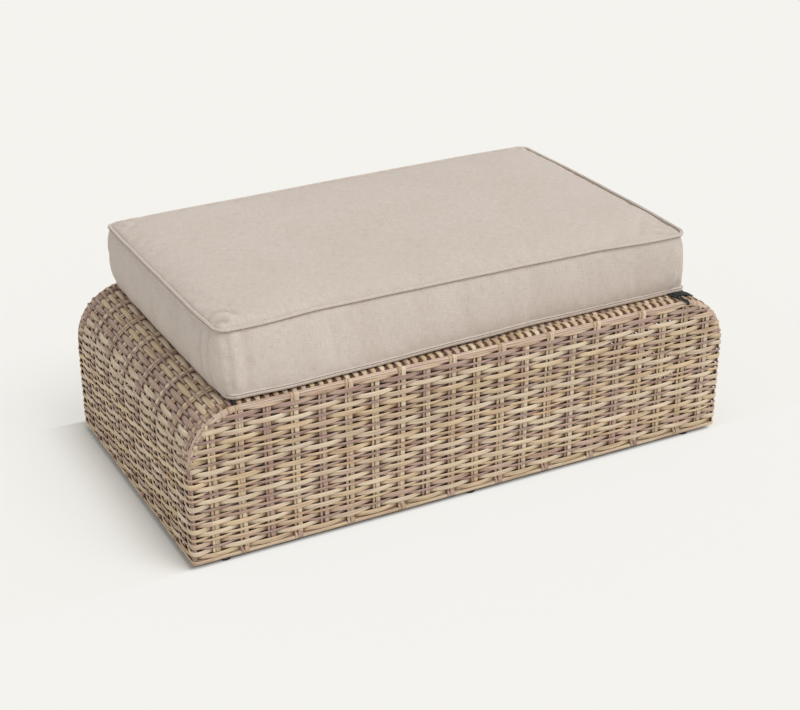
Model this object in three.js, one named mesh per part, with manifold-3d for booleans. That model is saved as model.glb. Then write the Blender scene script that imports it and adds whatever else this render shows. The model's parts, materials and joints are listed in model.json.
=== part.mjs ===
// Outdoor ottoman footstool: a woven resin-wicker box on a welded aluminium tube frame, with a loose piped
// seat cushion. Millimetres, +Z up, +X along the length, the front faces -Y. The origin is on the floor,
// under the middle of the whole object.

import * as THREE from "three";
import Module from "manifold-3d";
import { mergeVertices } from "three/addons/utils/BufferGeometryUtils.js";

const wasm = await Module();
wasm.setup();

// Wicker base
const baseLength = 1050;
const baseDepth = 570;
const deckHeight = 282;
const shoulderRadius = 95;
const cornerRadius = 10;
const weaveThickness = 7;
const bindingWidth = 12;
const bindingRound = 3.5;
const hemHeight = 14;

// Weave that stands out on the front and back. One of these rows stands for two strands.
const weaveRows = 18;
const weaveRelief = 3;
const weaveRowGap = 1.6;
const weaveDipLength = 5;
const weaveSlopeLength = 9;

// Clearances
const seatGap = 0.3;
const cutOverrun = 5;
const mergeDistance = 0.0001;

// Frame tube
const tubeSize = 25;
const tubeWall = 1.5;
const bearerCount = 5;

// Glides
const glideHeight = 11;
const glideRadius = 11;
const glideChamfer = 1.5;
const glideInset = 62;
const glideShift = 4;
const stemRadius = 5;
const stemLength = 18;

// Cushion. Its seam outline stays inside the base's ends and front, and hangs over the base's back.
const cushionEndInset = 72;
const cushionFrontInset = 44;
const cushionBackOverhang = 18;
const cushionThickness = 118;
const cushionCornerRadius = 34;
const cushionCrown = 16;
const boxingBulge = 4;
const sideBow = 2;
const drawnInReach = 90;
const fabricThickness = 2;
const pipingRadius = 4;
const foamEase = 0.6;

// Zip in the back of the cushion
const zipEndInset = 143;
const zipWidth = 7;
const zipThickness = 2;
const sliderLength = 12;
const sliderWidth = 9;
const sliderThickness = 3;
const bridgeLength = 10.6;
const bridgeWidth = 2.4;
const bridgeThickness = 1.2;
const bridgePost = 1.6;
const bridgeRoot = 1;
const pullLength = 28;
const pullWidth = 8;
const pullThickness = 1.4;
const eyeLength = 6;
const eyeWidth = 4.4;
const pullClearance = 0.5;

// Tie straps at the cushion's corners
const tieWidth = 20;
const tieThickness = 1.6;
const tieLength = 40;
const tieSeamInset = 9;
const tieOverhang = 16;
const tieBandLength = 27;
const tieTailLength = 31;
const tieTailWidth = 6;
const tieTailInset = 28;
const tieStubLength = 14;
const tieStubInset = 18;
const tieStubThickness = 3.6;

// Shares of the sizes above
const crownRingShares = [1, 0.9, 0.7, 0.4];
const boxingRingShares = [0, 0.25, 0.5, 0.75, 1];
const stakePitchShare = 0.0459;

// Smoothness
const arcSteps = 8;
const cornerSteps = 3;
const roundSteps = 12;
const bindingRoundSteps = 2;
const pipingSides = 6;

// Worked out from the sizes above
const halfLength = baseLength / 2;
const halfDepth = baseDepth / 2;
const shoulderHeight = deckHeight - shoulderRadius;
const shoulderStart = halfLength - shoulderRadius;
const panelBottom = glideHeight + hemHeight + seatGap;
const endHalfDepth = halfDepth - bindingWidth - seatGap;
const stakePitch = stakePitchShare * baseLength;
const stakesEachWay = Math.ceil(halfLength / stakePitch);
const tubeHalf = tubeSize / 2;
const postX = halfLength - weaveThickness - seatGap - tubeHalf;
const railY = endHalfDepth - tubeHalf;
const railHeight = glideHeight + tubeHalf;
const railTop = glideHeight + tubeSize;
const bendRadius = postX - shoulderStart;
const topRailHeight = shoulderHeight + bendRadius;
const crossLength = 2 * (railY - tubeHalf);
const glideX = halfLength - glideInset;
const cushionLength = baseLength - 2 * cushionEndInset;
const cushionDepth = baseDepth - cushionFrontInset + cushionBackOverhang;
const cushionSetback = (cushionFrontInset + cushionBackOverhang) / 2;
const cushionBottom = deckHeight + seatGap;
const lowerPipingHeight = cushionBottom + pipingRadius;
const upperPipingHeight = cushionBottom + cushionThickness - pipingRadius;
const pipingReach = pipingRadius + seatGap;
const zipHeight = (lowerPipingHeight + upperPipingHeight) / 2;
const cushionFront = cushionSetback - cushionDepth / 2;
const cushionBack = cushionSetback + cushionDepth / 2;
const cushionBackFace = cushionBack + sideBow + boxingBulge + fabricThickness / 2;
const zipLength = cushionLength - 2 * zipEndInset;

const ends = [["left", -1], ["right", 1]];
const faces = [["front", -1], ["back", 1]];

const materials = {
  frame: new THREE.MeshStandardMaterial({ color: 0x6b5a4c, roughness: 0.5, metalness: 0.4 }),
  wicker: new THREE.MeshStandardMaterial({ color: 0xa58f76, roughness: 0.6, metalness: 0 }),
  glide: new THREE.MeshStandardMaterial({ color: 0x141414, roughness: 0.5, metalness: 0 }),
  foam: new THREE.MeshStandardMaterial({ color: 0xe6dfc4, roughness: 0.95, metalness: 0 }),
  fabric: new THREE.MeshStandardMaterial({ color: 0xc9bdb0, roughness: 0.9, metalness: 0 }),
  zip: new THREE.MeshStandardMaterial({ color: 0xb7aa9c, roughness: 0.5, metalness: 0 }),
  webbing: new THREE.MeshStandardMaterial({ color: 0x16171a, roughness: 0.85, metalness: 0 }),
};

const model = new THREE.Group();

function addPiece(name, geometry, material, x = 0, y = 0, z = 0) {
  const piece = new THREE.Mesh(geometry, material);
  piece.name = name;
  piece.position.set(x, y, z);
  model.add(piece);
}

// Boolean cuts and joins

function toSolid(geometry) {
  const bare = geometry.clone();
  bare.deleteAttribute("normal");
  bare.deleteAttribute("uv");
  const merged = mergeVertices(bare, mergeDistance);
  return new wasm.Manifold(new wasm.Mesh({
    numProp: 3,
    vertProperties: merged.attributes.position.array,
    triVerts: merged.index.array,
  }));
}

function toGeometry(solid) {
  const mesh = solid.getMesh();
  const geometry = new THREE.BufferGeometry();
  geometry.setAttribute("position", new THREE.BufferAttribute(mesh.vertProperties, 3));
  geometry.setIndex(new THREE.BufferAttribute(mesh.triVerts, 1));
  geometry.computeVertexNormals();
  return geometry;
}

function cutAway(geometry, cutters) {
  return toGeometry(cutters.reduce((solid, cutter) => solid.subtract(toSolid(cutter)), toSolid(geometry)));
}

// Outlines and extrusions

function arcPoints(x, y, radius, fromDegrees, toDegrees, steps = arcSteps) {
  const points = [];
  for (let step = 0; step <= steps; step += 1) {
    const angle = THREE.MathUtils.degToRad(THREE.MathUtils.lerp(fromDegrees, toDegrees, step / steps));
    points.push(new THREE.Vector2(x + radius * Math.cos(angle), y + radius * Math.sin(angle)));
  }
  return points;
}

function rectanglePoints(halfWidth, halfHeight) {
  return [
    new THREE.Vector2(-halfWidth, -halfHeight),
    new THREE.Vector2(halfWidth, -halfHeight),
    new THREE.Vector2(halfWidth, halfHeight),
    new THREE.Vector2(-halfWidth, halfHeight),
  ];
}

// An outline drawn in X and Z, made depth thick about the plane y = 0
function extrudeAcross(points, depth) {
  const geometry = new THREE.ExtrudeGeometry(new THREE.Shape(points), { depth, bevelEnabled: false });
  geometry.rotateX(Math.PI / 2);
  geometry.translate(0, depth / 2, 0);
  return geometry;
}

// The base's rounded top seen from the front, drawn in by inset, from the left spring line to the right one
function shoulderLine(inset) {
  const radius = shoulderRadius - inset;
  return [
    ...arcPoints(-shoulderStart, shoulderHeight, radius, 180, 90),
    ...arcPoints(shoulderStart, shoulderHeight, radius, 90, 0),
  ];
}

// Aluminium frame

function tubeSection() {
  const section = new THREE.Shape(rectanglePoints(tubeHalf, tubeHalf));
  section.holes.push(new THREE.Path(rectanglePoints(tubeHalf - tubeWall, tubeHalf - tubeWall)));
  return section;
}

function uprightTube(length) {
  const geometry = new THREE.ExtrudeGeometry(tubeSection(), { depth: length, bevelEnabled: false });
  geometry.translate(0, 0, -length / 2);
  return geometry;
}

function lengthwiseTube(length) {
  return uprightTube(length).rotateY(Math.PI / 2);
}

function crosswiseTube(length) {
  return uprightTube(length).rotateX(Math.PI / 2);
}

// The centre line of a bent shoulder tube, from the top of a post to the end of the top rail
class BendLine extends THREE.Curve {
  constructor(side) {
    super();
    this.side = side;
  }

  getPoint(share, target = new THREE.Vector3()) {
    const margin = seatGap / bendRadius;
    const angle = THREE.MathUtils.lerp(margin, Math.PI / 2 - margin, share);
    const reach = shoulderStart + bendRadius * Math.cos(angle);
    return target.set(this.side * reach, 0, shoulderHeight + bendRadius * Math.sin(angle));
  }
}

function shoulderTube(side) {
  const path = new BendLine(side);
  return new THREE.ExtrudeGeometry(tubeSection(), { steps: arcSteps, extrudePath: path, bevelEnabled: false });
}

function bottomRail(front) {
  const holeHeight = tubeWall + 2 * cutOverrun;
  const holes = [-glideX, 0, glideX].map((x) => {
    const hole = new THREE.CylinderGeometry(stemRadius + seatGap, stemRadius + seatGap, holeHeight, roundSteps);
    return hole.rotateX(Math.PI / 2).translate(x, front * glideShift, (tubeWall - tubeSize) / 2);
  });
  return cutAway(lengthwiseTube(2 * (postX + tubeHalf)), holes);
}

function addFrame() {
  const postLength = shoulderHeight - railTop;
  const middlePostLength = topRailHeight - tubeHalf - railTop;
  for (const [face, front] of faces) {
    const y = front * railY;
    addPiece(`bottom_rail_${face}`, bottomRail(front), materials.frame, 0, y, railHeight);
    addPiece(`top_rail_${face}`, lengthwiseTube(2 * shoulderStart), materials.frame, 0, y, topRailHeight);
    const middle = railTop + middlePostLength / 2;
    addPiece(`middle_post_${face}`, uprightTube(middlePostLength), materials.frame, 0, y, middle);
    for (const [end, side] of ends) {
      const post = railTop + postLength / 2;
      addPiece(`corner_post_${face}_${end}`, uprightTube(postLength), materials.frame, side * postX, y, post);
      addPiece(`shoulder_tube_${face}_${end}`, shoulderTube(side), materials.frame, 0, y, 0);
    }
  }
  for (const [end, side] of ends) {
    addPiece(`bottom_rail_${end}`, crosswiseTube(crossLength), materials.frame, side * postX, 0, railHeight);
  }
  addPiece("bottom_stretcher", crosswiseTube(crossLength), materials.frame, 0, 0, railHeight);
  const outerBearer = shoulderStart - tubeHalf;
  for (let index = 0; index < bearerCount; index += 1) {
    const x = THREE.MathUtils.lerp(-outerBearer, outerBearer, index / (bearerCount - 1));
    addPiece(`deck_bearer_${index + 1}`, crosswiseTube(crossLength), materials.frame, x, 0, topRailHeight);
  }
}

// Wicker panels, bindings and hems

// Rounds the base's four upright corners on a piece that lies along the front or the back
function roundCorners(geometry) {
  const x = halfLength - cornerRadius;
  const y = halfDepth - cornerRadius;
  const plan = new THREE.Shape([
    ...arcPoints(x, y, cornerRadius, 0, 90, cornerSteps),
    ...arcPoints(-x, y, cornerRadius, 90, 180, cornerSteps),
    ...arcPoints(-x, -y, cornerRadius, 180, 270, cornerSteps),
    ...arcPoints(x, -y, cornerRadius, 270, 360, cornerSteps),
  ]);
  const block = new THREE.ExtrudeGeometry(plan, { depth: deckHeight + cutOverrun, bevelEnabled: false });
  return toGeometry(toSolid(geometry).intersect(toSolid(block)));
}

// Where one row of the front passes in front of a stake, seen from above and made height tall
function weavePad(height) {
  const reach = (stakePitch - weaveDipLength) / 2;
  const crest = reach - weaveSlopeLength;
  const surface = weaveRelief - bindingWidth / 2;
  const plan = new THREE.Shape([
    new THREE.Vector2(-reach, 0),
    new THREE.Vector2(-reach, surface),
    new THREE.Vector2(-crest, -bindingWidth / 2),
    new THREE.Vector2(crest, -bindingWidth / 2),
    new THREE.Vector2(reach, surface),
    new THREE.Vector2(reach, 0),
  ]);
  return toSolid(new THREE.ExtrudeGeometry(plan, { depth: height, bevelEnabled: false }));
}

// A block of the front's thickness, with the weave in relief on its outer side
function wovenBlock() {
  const rowHeight = (deckHeight - bindingWidth - panelBottom) / weaveRows;
  const pad = weavePad(rowHeight - weaveRowGap);
  const plate = new THREE.BoxGeometry(baseLength, bindingWidth - weaveRelief, deckHeight);
  const solids = [toSolid(plate.translate(0, weaveRelief / 2, deckHeight / 2))];
  for (let row = 0; row < weaveRows; row += 1) {
    const z = panelBottom + row * rowHeight + weaveRowGap / 2;
    for (let stake = row % 2 - stakesEachWay; stake <= stakesEachWay; stake += 2) {
      solids.push(pad.translate([stake * stakePitch, 0, z]));
    }
  }
  return wasm.Manifold.union(solids);
}

function facePanel(woven, y) {
  const inset = bindingWidth + seatGap;
  const step = shoulderHeight - seatGap;
  const outline = [
    new THREE.Vector2(-halfLength, panelBottom),
    new THREE.Vector2(-halfLength, step),
    new THREE.Vector2(-halfLength + inset, step),
    ...shoulderLine(inset),
    new THREE.Vector2(halfLength - inset, step),
    new THREE.Vector2(halfLength, step),
    new THREE.Vector2(halfLength, panelBottom),
  ];
  const panel = toSolid(extrudeAcross(outline, bindingWidth)).intersect(woven);
  return roundCorners(toGeometry(panel.translate([0, y, 0])));
}

function endPanel(side) {
  const innerRadius = shoulderRadius - weaveThickness;
  const outline = [
    new THREE.Vector2(halfLength, panelBottom),
    ...arcPoints(shoulderStart, shoulderHeight, shoulderRadius, 0, 90),
    ...arcPoints(shoulderStart, shoulderHeight, innerRadius, 90, 0),
    new THREE.Vector2(halfLength - weaveThickness, panelBottom),
  ];
  return extrudeAcross(outline.map((point) => new THREE.Vector2(side * point.x, point.y)), 2 * endHalfDepth);
}

function bindingStrip() {
  const outline = [...shoulderLine(0), ...shoulderLine(bindingWidth).reverse()];
  const geometry = new THREE.ExtrudeGeometry(new THREE.Shape(outline), {
    depth: bindingWidth - 2 * bindingRound,
    bevelThickness: bindingRound,
    bevelSize: bindingRound,
    bevelOffset: -bindingRound,
    bevelSegments: bindingRoundSteps,
  });
  geometry.rotateX(Math.PI / 2);
  return geometry.translate(0, bindingWidth / 2 - bindingRound, 0);
}

function addWicker() {
  const hemMiddle = glideHeight + hemHeight / 2;
  const frontWeave = wovenBlock();
  const wovenBlocks = { front: frontWeave, back: frontWeave.mirror([0, 1, 0]) };
  for (const [face, front] of faces) {
    const y = front * (halfDepth - bindingWidth / 2);
    const hem = new THREE.BoxGeometry(baseLength, bindingWidth, hemHeight).translate(0, y, hemMiddle);
    addPiece(`${face}_weave`, facePanel(wovenBlocks[face], y), materials.wicker);
    addPiece(`${face}_binding`, bindingStrip(), materials.wicker, 0, y, 0);
    addPiece(`${face}_hem`, roundCorners(hem), materials.wicker);
  }
  for (const [end, side] of ends) {
    const hem = new THREE.BoxGeometry(weaveThickness, 2 * endHalfDepth, hemHeight);
    const x = side * (halfLength - weaveThickness / 2);
    addPiece(`${end}_end_weave`, endPanel(side), materials.wicker);
    addPiece(`${end}_hem`, hem, materials.wicker, x, 0, hemMiddle);
  }
  const deckLength = 2 * (shoulderStart - seatGap);
  const deck = new THREE.BoxGeometry(deckLength, 2 * endHalfDepth, weaveThickness);
  addPiece("deck_weave", deck, materials.wicker, 0, 0, deckHeight - weaveThickness / 2);
}

// Glides

function glideGeometry() {
  const padTop = glideHeight - seatGap;
  const profile = [
    new THREE.Vector2(0, 0),
    new THREE.Vector2(glideRadius - glideChamfer, 0),
    new THREE.Vector2(glideRadius, glideChamfer),
    new THREE.Vector2(glideRadius, padTop),
    new THREE.Vector2(stemRadius, padTop),
    new THREE.Vector2(stemRadius, padTop + stemLength),
    new THREE.Vector2(0, padTop + stemLength),
  ];
  return new THREE.LatheGeometry(profile, roundSteps).rotateX(Math.PI / 2);
}

function addGlides() {
  const places = [["left", -glideX], ["middle", 0], ["right", glideX]];
  for (const [face, front] of faces) {
    for (const [place, x] of places) {
      addPiece(`glide_${face}_${place}`, glideGeometry(), materials.glide, x, front * (railY + glideShift), 0);
    }
  }
}

// Cushion

// The seam outline seen from above. Each point has its place, its outward direction and its freedom: how far
// the side can bow out there, from 0 at a corner to 1 beyond drawnInReach.
function cushionOutline() {
  const straightX = cushionLength / 2 - cushionCornerRadius;
  const straightY = cushionDepth / 2 - cushionCornerRadius;
  const corners = [
    { x: straightX, y: straightY, degrees: 0, side: 2 * straightX },
    { x: -straightX, y: straightY, degrees: 90, side: 2 * straightY },
    { x: -straightX, y: -straightY, degrees: 180, side: 2 * straightX },
    { x: straightX, y: -straightY, degrees: 270, side: 2 * straightY },
  ];
  const outline = [];
  for (const { x, y, degrees, side } of corners) {
    for (const out of arcPoints(0, 0, 1, degrees, degrees + 90, cornerSteps)) {
      outline.push({ x: x + cushionCornerRadius * out.x, y: y + cushionCornerRadius * out.y, out, freedom: 0 });
    }
    const { x: startX, y: startY, out } = outline.at(-1);
    const stations = [drawnInReach / 2, drawnInReach, side - drawnInReach, side - drawnInReach / 2];
    for (const station of stations) {
      const fromCorner = Math.min(station, side - station);
      const freedom = THREE.MathUtils.smoothstep(fromCorner, 0, drawnInReach);
      outline.push({ x: startX - out.y * station, y: startY + out.x * station, out, freedom });
    }
  }
  return outline;
}

// One level ring: the seam outline moved out by grow, and by bow where the side is free, scaled by share
function ring(height, grow, bow, share = 1) {
  return cushionOutline().map(({ x, y, out, freedom }) => {
    const move = grow + bow * freedom;
    return new THREE.Vector3(share * (x + out.x * move), share * (y + out.y * move), height);
  });
}

// Joins rings into one closed surface. A loop joins its last ring to its first, and any other list ends in a
// point at the middle of its first and last rings.
function joinRings(rings, isLoop) {
  const count = rings[0].length;
  const positions = rings.flat().flatMap((point) => point.toArray());
  const triangles = [];
  const bands = isLoop ? rings.length : rings.length - 1;
  for (let band = 0; band < bands; band += 1) {
    const lower = band * count;
    const upper = ((band + 1) % rings.length) * count;
    for (let index = 0; index < count; index += 1) {
      const next = (index + 1) % count;
      triangles.push(lower + index, lower + next, upper + next);
      triangles.push(lower + index, upper + next, upper + index);
    }
  }
  if (!isLoop) {
    const firstMiddle = positions.length / 3;
    const lastRing = (rings.length - 1) * count;
    positions.push(0, 0, rings[0][0].z);
    positions.push(0, 0, rings.at(-1)[0].z);
    for (let index = 0; index < count; index += 1) {
      const next = (index + 1) % count;
      triangles.push(firstMiddle, next, index);
      triangles.push(firstMiddle + 1, lastRing + index, lastRing + next);
    }
  }
  const geometry = new THREE.BufferGeometry();
  geometry.setAttribute("position", new THREE.Float32BufferAttribute(positions, 3));
  geometry.setIndex(triangles);
  geometry.computeVertexNormals();
  return geometry;
}

function crownRings(edgeHeight, grow) {
  return crownRingShares.map((share) => ring(edgeHeight + cushionCrown * (1 - share ** 3), grow, sideBow, share));
}

function boxingRings(grow) {
  const bottom = lowerPipingHeight + pipingReach;
  const top = upperPipingHeight - pipingReach;
  return boxingRingShares.map((share) => {
    const bulge = boxingBulge * Math.sin(Math.PI * share);
    return ring(THREE.MathUtils.lerp(bottom, top, share), grow, sideBow + bulge);
  });
}

function foamCore() {
  const grow = -pipingReach - seatGap;
  const underside = ring(cushionBottom + fabricThickness + seatGap, grow, sideBow);
  const waist = ring(zipHeight, -fabricThickness / 2 - foamEase, sideBow + boxingBulge);
  const shoulder = upperPipingHeight - fabricThickness / 2 - seatGap;
  return joinRings([underside, waist, ...crownRings(shoulder, grow)], false);
}

function coverTop() {
  const underside = crownRings(upperPipingHeight - fabricThickness / 2, -pipingReach).reverse();
  const upside = crownRings(upperPipingHeight + fabricThickness / 2, -pipingReach);
  return joinRings([...underside, ...upside], false);
}

function coverBottom() {
  const underside = ring(cushionBottom, -pipingReach, sideBow);
  const upside = ring(cushionBottom + fabricThickness, -pipingReach, sideBow);
  return joinRings([underside, upside], false);
}

function coverBoxing() {
  const outside = boxingRings(fabricThickness / 2);
  const inside = boxingRings(-fabricThickness / 2).reverse();
  const slot = new THREE.BoxGeometry(zipLength + 2 * seatGap, 2 * cutOverrun, zipWidth + 2 * seatGap);
  slot.translate(0, cushionBackFace - cushionSetback, zipHeight);
  return cutAway(joinRings([...outside, ...inside], true), [slot]);
}

function piping(height) {
  const rings = [];
  for (let side = 0; side < pipingSides; side += 1) {
    const angle = (2 * Math.PI * side) / pipingSides - Math.PI / 2;
    rings.push(ring(height + pipingRadius * Math.sin(angle), pipingRadius * Math.cos(angle), sideBow));
  }
  return joinRings(rings, true);
}

function addCushion() {
  const y = cushionSetback;
  addPiece("foam_core", foamCore(), materials.foam, 0, y, 0);
  addPiece("cover_top", coverTop(), materials.fabric, 0, y, 0);
  addPiece("cover_bottom", coverBottom(), materials.fabric, 0, y, 0);
  addPiece("cover_boxing", coverBoxing(), materials.fabric, 0, y, 0);
  addPiece("piping_top", piping(upperPipingHeight), materials.fabric, 0, y, 0);
  addPiece("piping_bottom", piping(lowerPipingHeight), materials.fabric, 0, y, 0);
}

// Zip. The slider rides on the chain, and its bridge holds the crossbar of the pull, which swings about it.

const bodyFace = cushionBackFace + seatGap + sliderThickness;
const crossbarY = bodyFace + pullClearance + pullThickness / 2;
const parkedX = zipLength / 2 - sliderLength;

function zipSlider() {
  const body = new THREE.BoxGeometry(sliderLength, sliderThickness, sliderWidth);
  body.translate(0, bodyFace - sliderThickness / 2 - crossbarY, 0);
  const foot = bodyFace - bridgeRoot - crossbarY;
  const under = pullThickness / 2 + pullClearance;
  const outer = bridgeLength / 2;
  const inner = outer - bridgePost;
  const arch = new THREE.Shape([
    new THREE.Vector2(-outer, foot),
    new THREE.Vector2(-inner, foot),
    new THREE.Vector2(-inner, under),
    new THREE.Vector2(inner, under),
    new THREE.Vector2(inner, foot),
    new THREE.Vector2(outer, foot),
    new THREE.Vector2(outer, under + bridgeThickness),
    new THREE.Vector2(-outer, under + bridgeThickness),
  ]);
  const bridge = new THREE.ExtrudeGeometry(arch, { depth: bridgeWidth, bevelEnabled: false });
  bridge.translate(0, 0, -bridgeWidth / 2);
  return toGeometry(toSolid(body).add(toSolid(bridge)));
}

function zipPull() {
  const bar = pullThickness / 2;
  const tip = pullWidth / 2;
  const plate = new THREE.Shape([
    new THREE.Vector2(bar, tip),
    ...arcPoints(bar + tip - pullLength, 0, tip, 90, 270),
    new THREE.Vector2(bar, -tip),
  ]);
  const eye = rectanglePoints(eyeLength / 2, eyeWidth / 2);
  plate.holes.push(new THREE.Path(eye.map((point) => point.add(new THREE.Vector2(-bar - eyeLength / 2, 0)))));
  const geometry = new THREE.ExtrudeGeometry(plate, { depth: pullThickness, bevelEnabled: false });
  return geometry.rotateX(Math.PI / 2).translate(0, pullThickness / 2, 0);
}

function addZip() {
  const chain = new THREE.BoxGeometry(zipLength, zipThickness, zipWidth);
  addPiece("zip_chain", chain, materials.zip, 0, cushionBackFace - zipThickness / 2, zipHeight);
  addPiece("zip_slider", zipSlider(), materials.zip, parkedX, crossbarY, zipHeight);
  addPiece("zip_pull", zipPull(), materials.zip, parkedX, crossbarY, zipHeight);
}

// Tie straps, sewn into the bottom seam at the corners

// A strap that leaves the cushion's corner and lies over the rounded shoulder
function shoulderStrap() {
  const start = cushionLength / 2 - tieSeamInset;
  const inner = shoulderRadius + seatGap;
  const fromVertical = Math.asin((start - shoulderStart) / shoulderRadius);
  const from = 90 - THREE.MathUtils.radToDeg(fromVertical);
  const to = from - THREE.MathUtils.radToDeg(tieBandLength / shoulderRadius);
  const outline = [
    ...arcPoints(shoulderStart, shoulderHeight, inner + tieThickness, from, to),
    ...arcPoints(shoulderStart, shoulderHeight, inner, to, from),
  ];
  return extrudeAcross(outline.map((point) => new THREE.Vector2(point.x, point.y)), tieWidth);
}

// How far forward the cushion's lower piping reaches on its rounded corner, inset from the cushion's end
function pipingFront(inset) {
  const across = Math.max(cushionCornerRadius - inset, 0);
  const reach = cushionCornerRadius + pipingReach;
  return cushionFront + cushionCornerRadius - Math.sqrt(reach * reach - across * across);
}

// A strap that leaves the cushion's front and lies flat on the deck
function addDeckStrap(name, side, inset, length, thickness) {
  const strap = new THREE.BoxGeometry(tieTailWidth, length, thickness);
  const x = side * (cushionLength / 2 - inset);
  const y = pipingFront(inset + tieTailWidth / 2) - length / 2;
  addPiece(name, strap, materials.webbing, x, y, cushionBottom + thickness / 2);
}

// A strap that hangs from the cushion's overhang, against the base's back
function addHangingStrap(name, side) {
  const strap = new THREE.BoxGeometry(tieWidth, tieThickness, tieLength);
  const x = side * (cushionLength / 2 - cushionCornerRadius);
  const y = halfDepth + seatGap + tieThickness / 2;
  addPiece(name, strap, materials.webbing, x, y, cushionBottom - seatGap - tieLength / 2);
}

function addTies() {
  const bandY = cushionFront - tieOverhang + tieWidth / 2;
  addPiece("tie_front_right", shoulderStrap(), materials.webbing, 0, bandY, 0);
  addDeckStrap("tie_tail_front_right", 1, tieTailInset, tieTailLength, tieThickness);
  addDeckStrap("tie_front_left", -1, tieStubInset, tieStubLength, tieStubThickness);
  for (const [end, side] of ends) {
    addHangingStrap(`tie_back_${end}`, side);
  }
}

addFrame();
addWicker();
addGlides();
addCushion();
addZip();
addTies();

// Brings the middle of the whole object over the origin
const bounds = new THREE.Box3().setFromObject(model);
model.position.y = -(bounds.min.y + bounds.max.y) / 2;

export default model;
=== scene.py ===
"""Looks of the outdoor ottoman footstool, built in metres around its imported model.

The wicker base is woven strand by strand, and the cushion's cover is a cloth simulation. +Z is up, and the
front faces -Y.
"""
import json
import math

import bpy
import numpy as np
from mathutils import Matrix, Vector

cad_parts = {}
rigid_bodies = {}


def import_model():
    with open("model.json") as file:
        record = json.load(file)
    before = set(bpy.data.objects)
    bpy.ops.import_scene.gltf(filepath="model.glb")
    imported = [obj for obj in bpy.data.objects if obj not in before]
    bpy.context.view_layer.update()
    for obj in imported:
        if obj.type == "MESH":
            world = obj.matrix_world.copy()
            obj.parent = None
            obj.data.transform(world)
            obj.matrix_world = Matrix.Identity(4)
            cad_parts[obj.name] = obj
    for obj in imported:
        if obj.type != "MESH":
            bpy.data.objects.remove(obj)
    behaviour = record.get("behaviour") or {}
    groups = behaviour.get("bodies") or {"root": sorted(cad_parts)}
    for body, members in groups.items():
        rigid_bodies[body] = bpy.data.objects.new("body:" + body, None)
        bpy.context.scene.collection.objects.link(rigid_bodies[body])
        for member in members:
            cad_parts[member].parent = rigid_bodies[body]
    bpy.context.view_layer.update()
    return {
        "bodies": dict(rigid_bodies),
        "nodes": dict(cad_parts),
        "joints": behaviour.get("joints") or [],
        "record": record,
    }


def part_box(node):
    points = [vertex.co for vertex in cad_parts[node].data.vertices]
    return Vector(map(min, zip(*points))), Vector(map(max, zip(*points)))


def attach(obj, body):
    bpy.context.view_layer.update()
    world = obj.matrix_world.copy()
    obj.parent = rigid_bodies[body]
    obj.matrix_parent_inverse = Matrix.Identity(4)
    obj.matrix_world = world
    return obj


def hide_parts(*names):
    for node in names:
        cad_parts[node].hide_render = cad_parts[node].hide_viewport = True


MM = 0.001
UP = (0, 0, 1)
WHITE = (1, 1, 1)
TINY = 1e-12

# Wicker base, as in the part's source
BASE_LENGTH = 1050 * MM
BASE_DEPTH = 570 * MM
DECK_HEIGHT = 282 * MM
SHOULDER_RADIUS = 95 * MM
CORNER_RADIUS = 10 * MM
BASE_BOTTOM = 11 * MM
BINDING_WIDTH = 12 * MM
HALF_LENGTH = BASE_LENGTH / 2
HALF_DEPTH = BASE_DEPTH / 2
SHOULDER_HEIGHT = DECK_HEIGHT - SHOULDER_RADIUS
SHOULDER_START = HALF_LENGTH - SHOULDER_RADIUS
ARC_LENGTH = SHOULDER_RADIUS * math.pi / 2
PROFILE_LENGTH = 2 * ARC_LENGTH + 2 * SHOULDER_START

# Cushion, as in the part's source
CUSHION_LENGTH = 906 * MM
CUSHION_DEPTH = 544 * MM
CUSHION_THICKNESS = 118 * MM
PIPING_RADIUS = 4 * MM
SIDE_BOW = 2 * MM
DRAWN_IN_REACH = 90 * MM
SEAT_GAP = 0.3 * MM

# The cushion sits a little askew: at its left end the underside lies nearer the right and the front
CUSHION_EASE_X = 3.5 * MM
CUSHION_SHIFT_X = 3 * MM
ASKEW_X = 6.5 * MM
ASKEW_Y = 26 * MM
ASKEW_REACH = 700 * MM
UNDERSIDE_SHIFT = 2 * MM
CUSHION_X = CUSHION_LENGTH / 2 + CUSHION_EASE_X
CUSHION_Y = CUSHION_DEPTH / 2
CUSHION_BOTTOM = DECK_HEIGHT + SEAT_GAP
LOW_SEAM = CUSHION_BOTTOM + PIPING_RADIUS
HIGH_SEAM = CUSHION_BOTTOM + CUSHION_THICKNESS - PIPING_RADIUS

# Outline of the cushion's top, with the shares of a half length or half depth where a change takes place
SEWN_CORNER = 20 * MM
CORNER_PUSH = 6 * MM
FRONT_DRAW = 7 * MM
FRONT_DRAW_RANGE = (40 * MM, 200 * MM)
BACK_DRAW = 6 * MM
BACK_DRAW_SHARE = 0.6
BACK_TILT = 13 * MM
LEFT_DRAW = 5 * MM
LEFT_BACK_DRAW = 1 * MM
LEFT_BACK_SHARES = (-0.5, 0.4)
RIGHT_DRAW = 4 * MM
RIGHT_FRONT_DRAW = 7 * MM
RIGHT_FRONT_SHARE = 0.2

# Waves of the seams. All turns of the cushion's waves are in radians a metre, and starts are in radians
SEAM_WANDER = 0.35 * MM
SEAM_WAVE_X = {"slow": 21, "start": 1.3, "fast": 47, "cross": 3}
SEAM_WAVE_Y = {"slow": 25, "start": 0.4, "fast": 55, "cross": 2}
FAST_WAVE_SHARE = 0.6
LOW_SEAM_WAVE = 0.9 * MM
LOW_SEAM_TURNS = (23, 11, 17)
LOW_SEAM_START = 2
HIGH_SEAM_TURNS = (13, 19)

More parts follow.
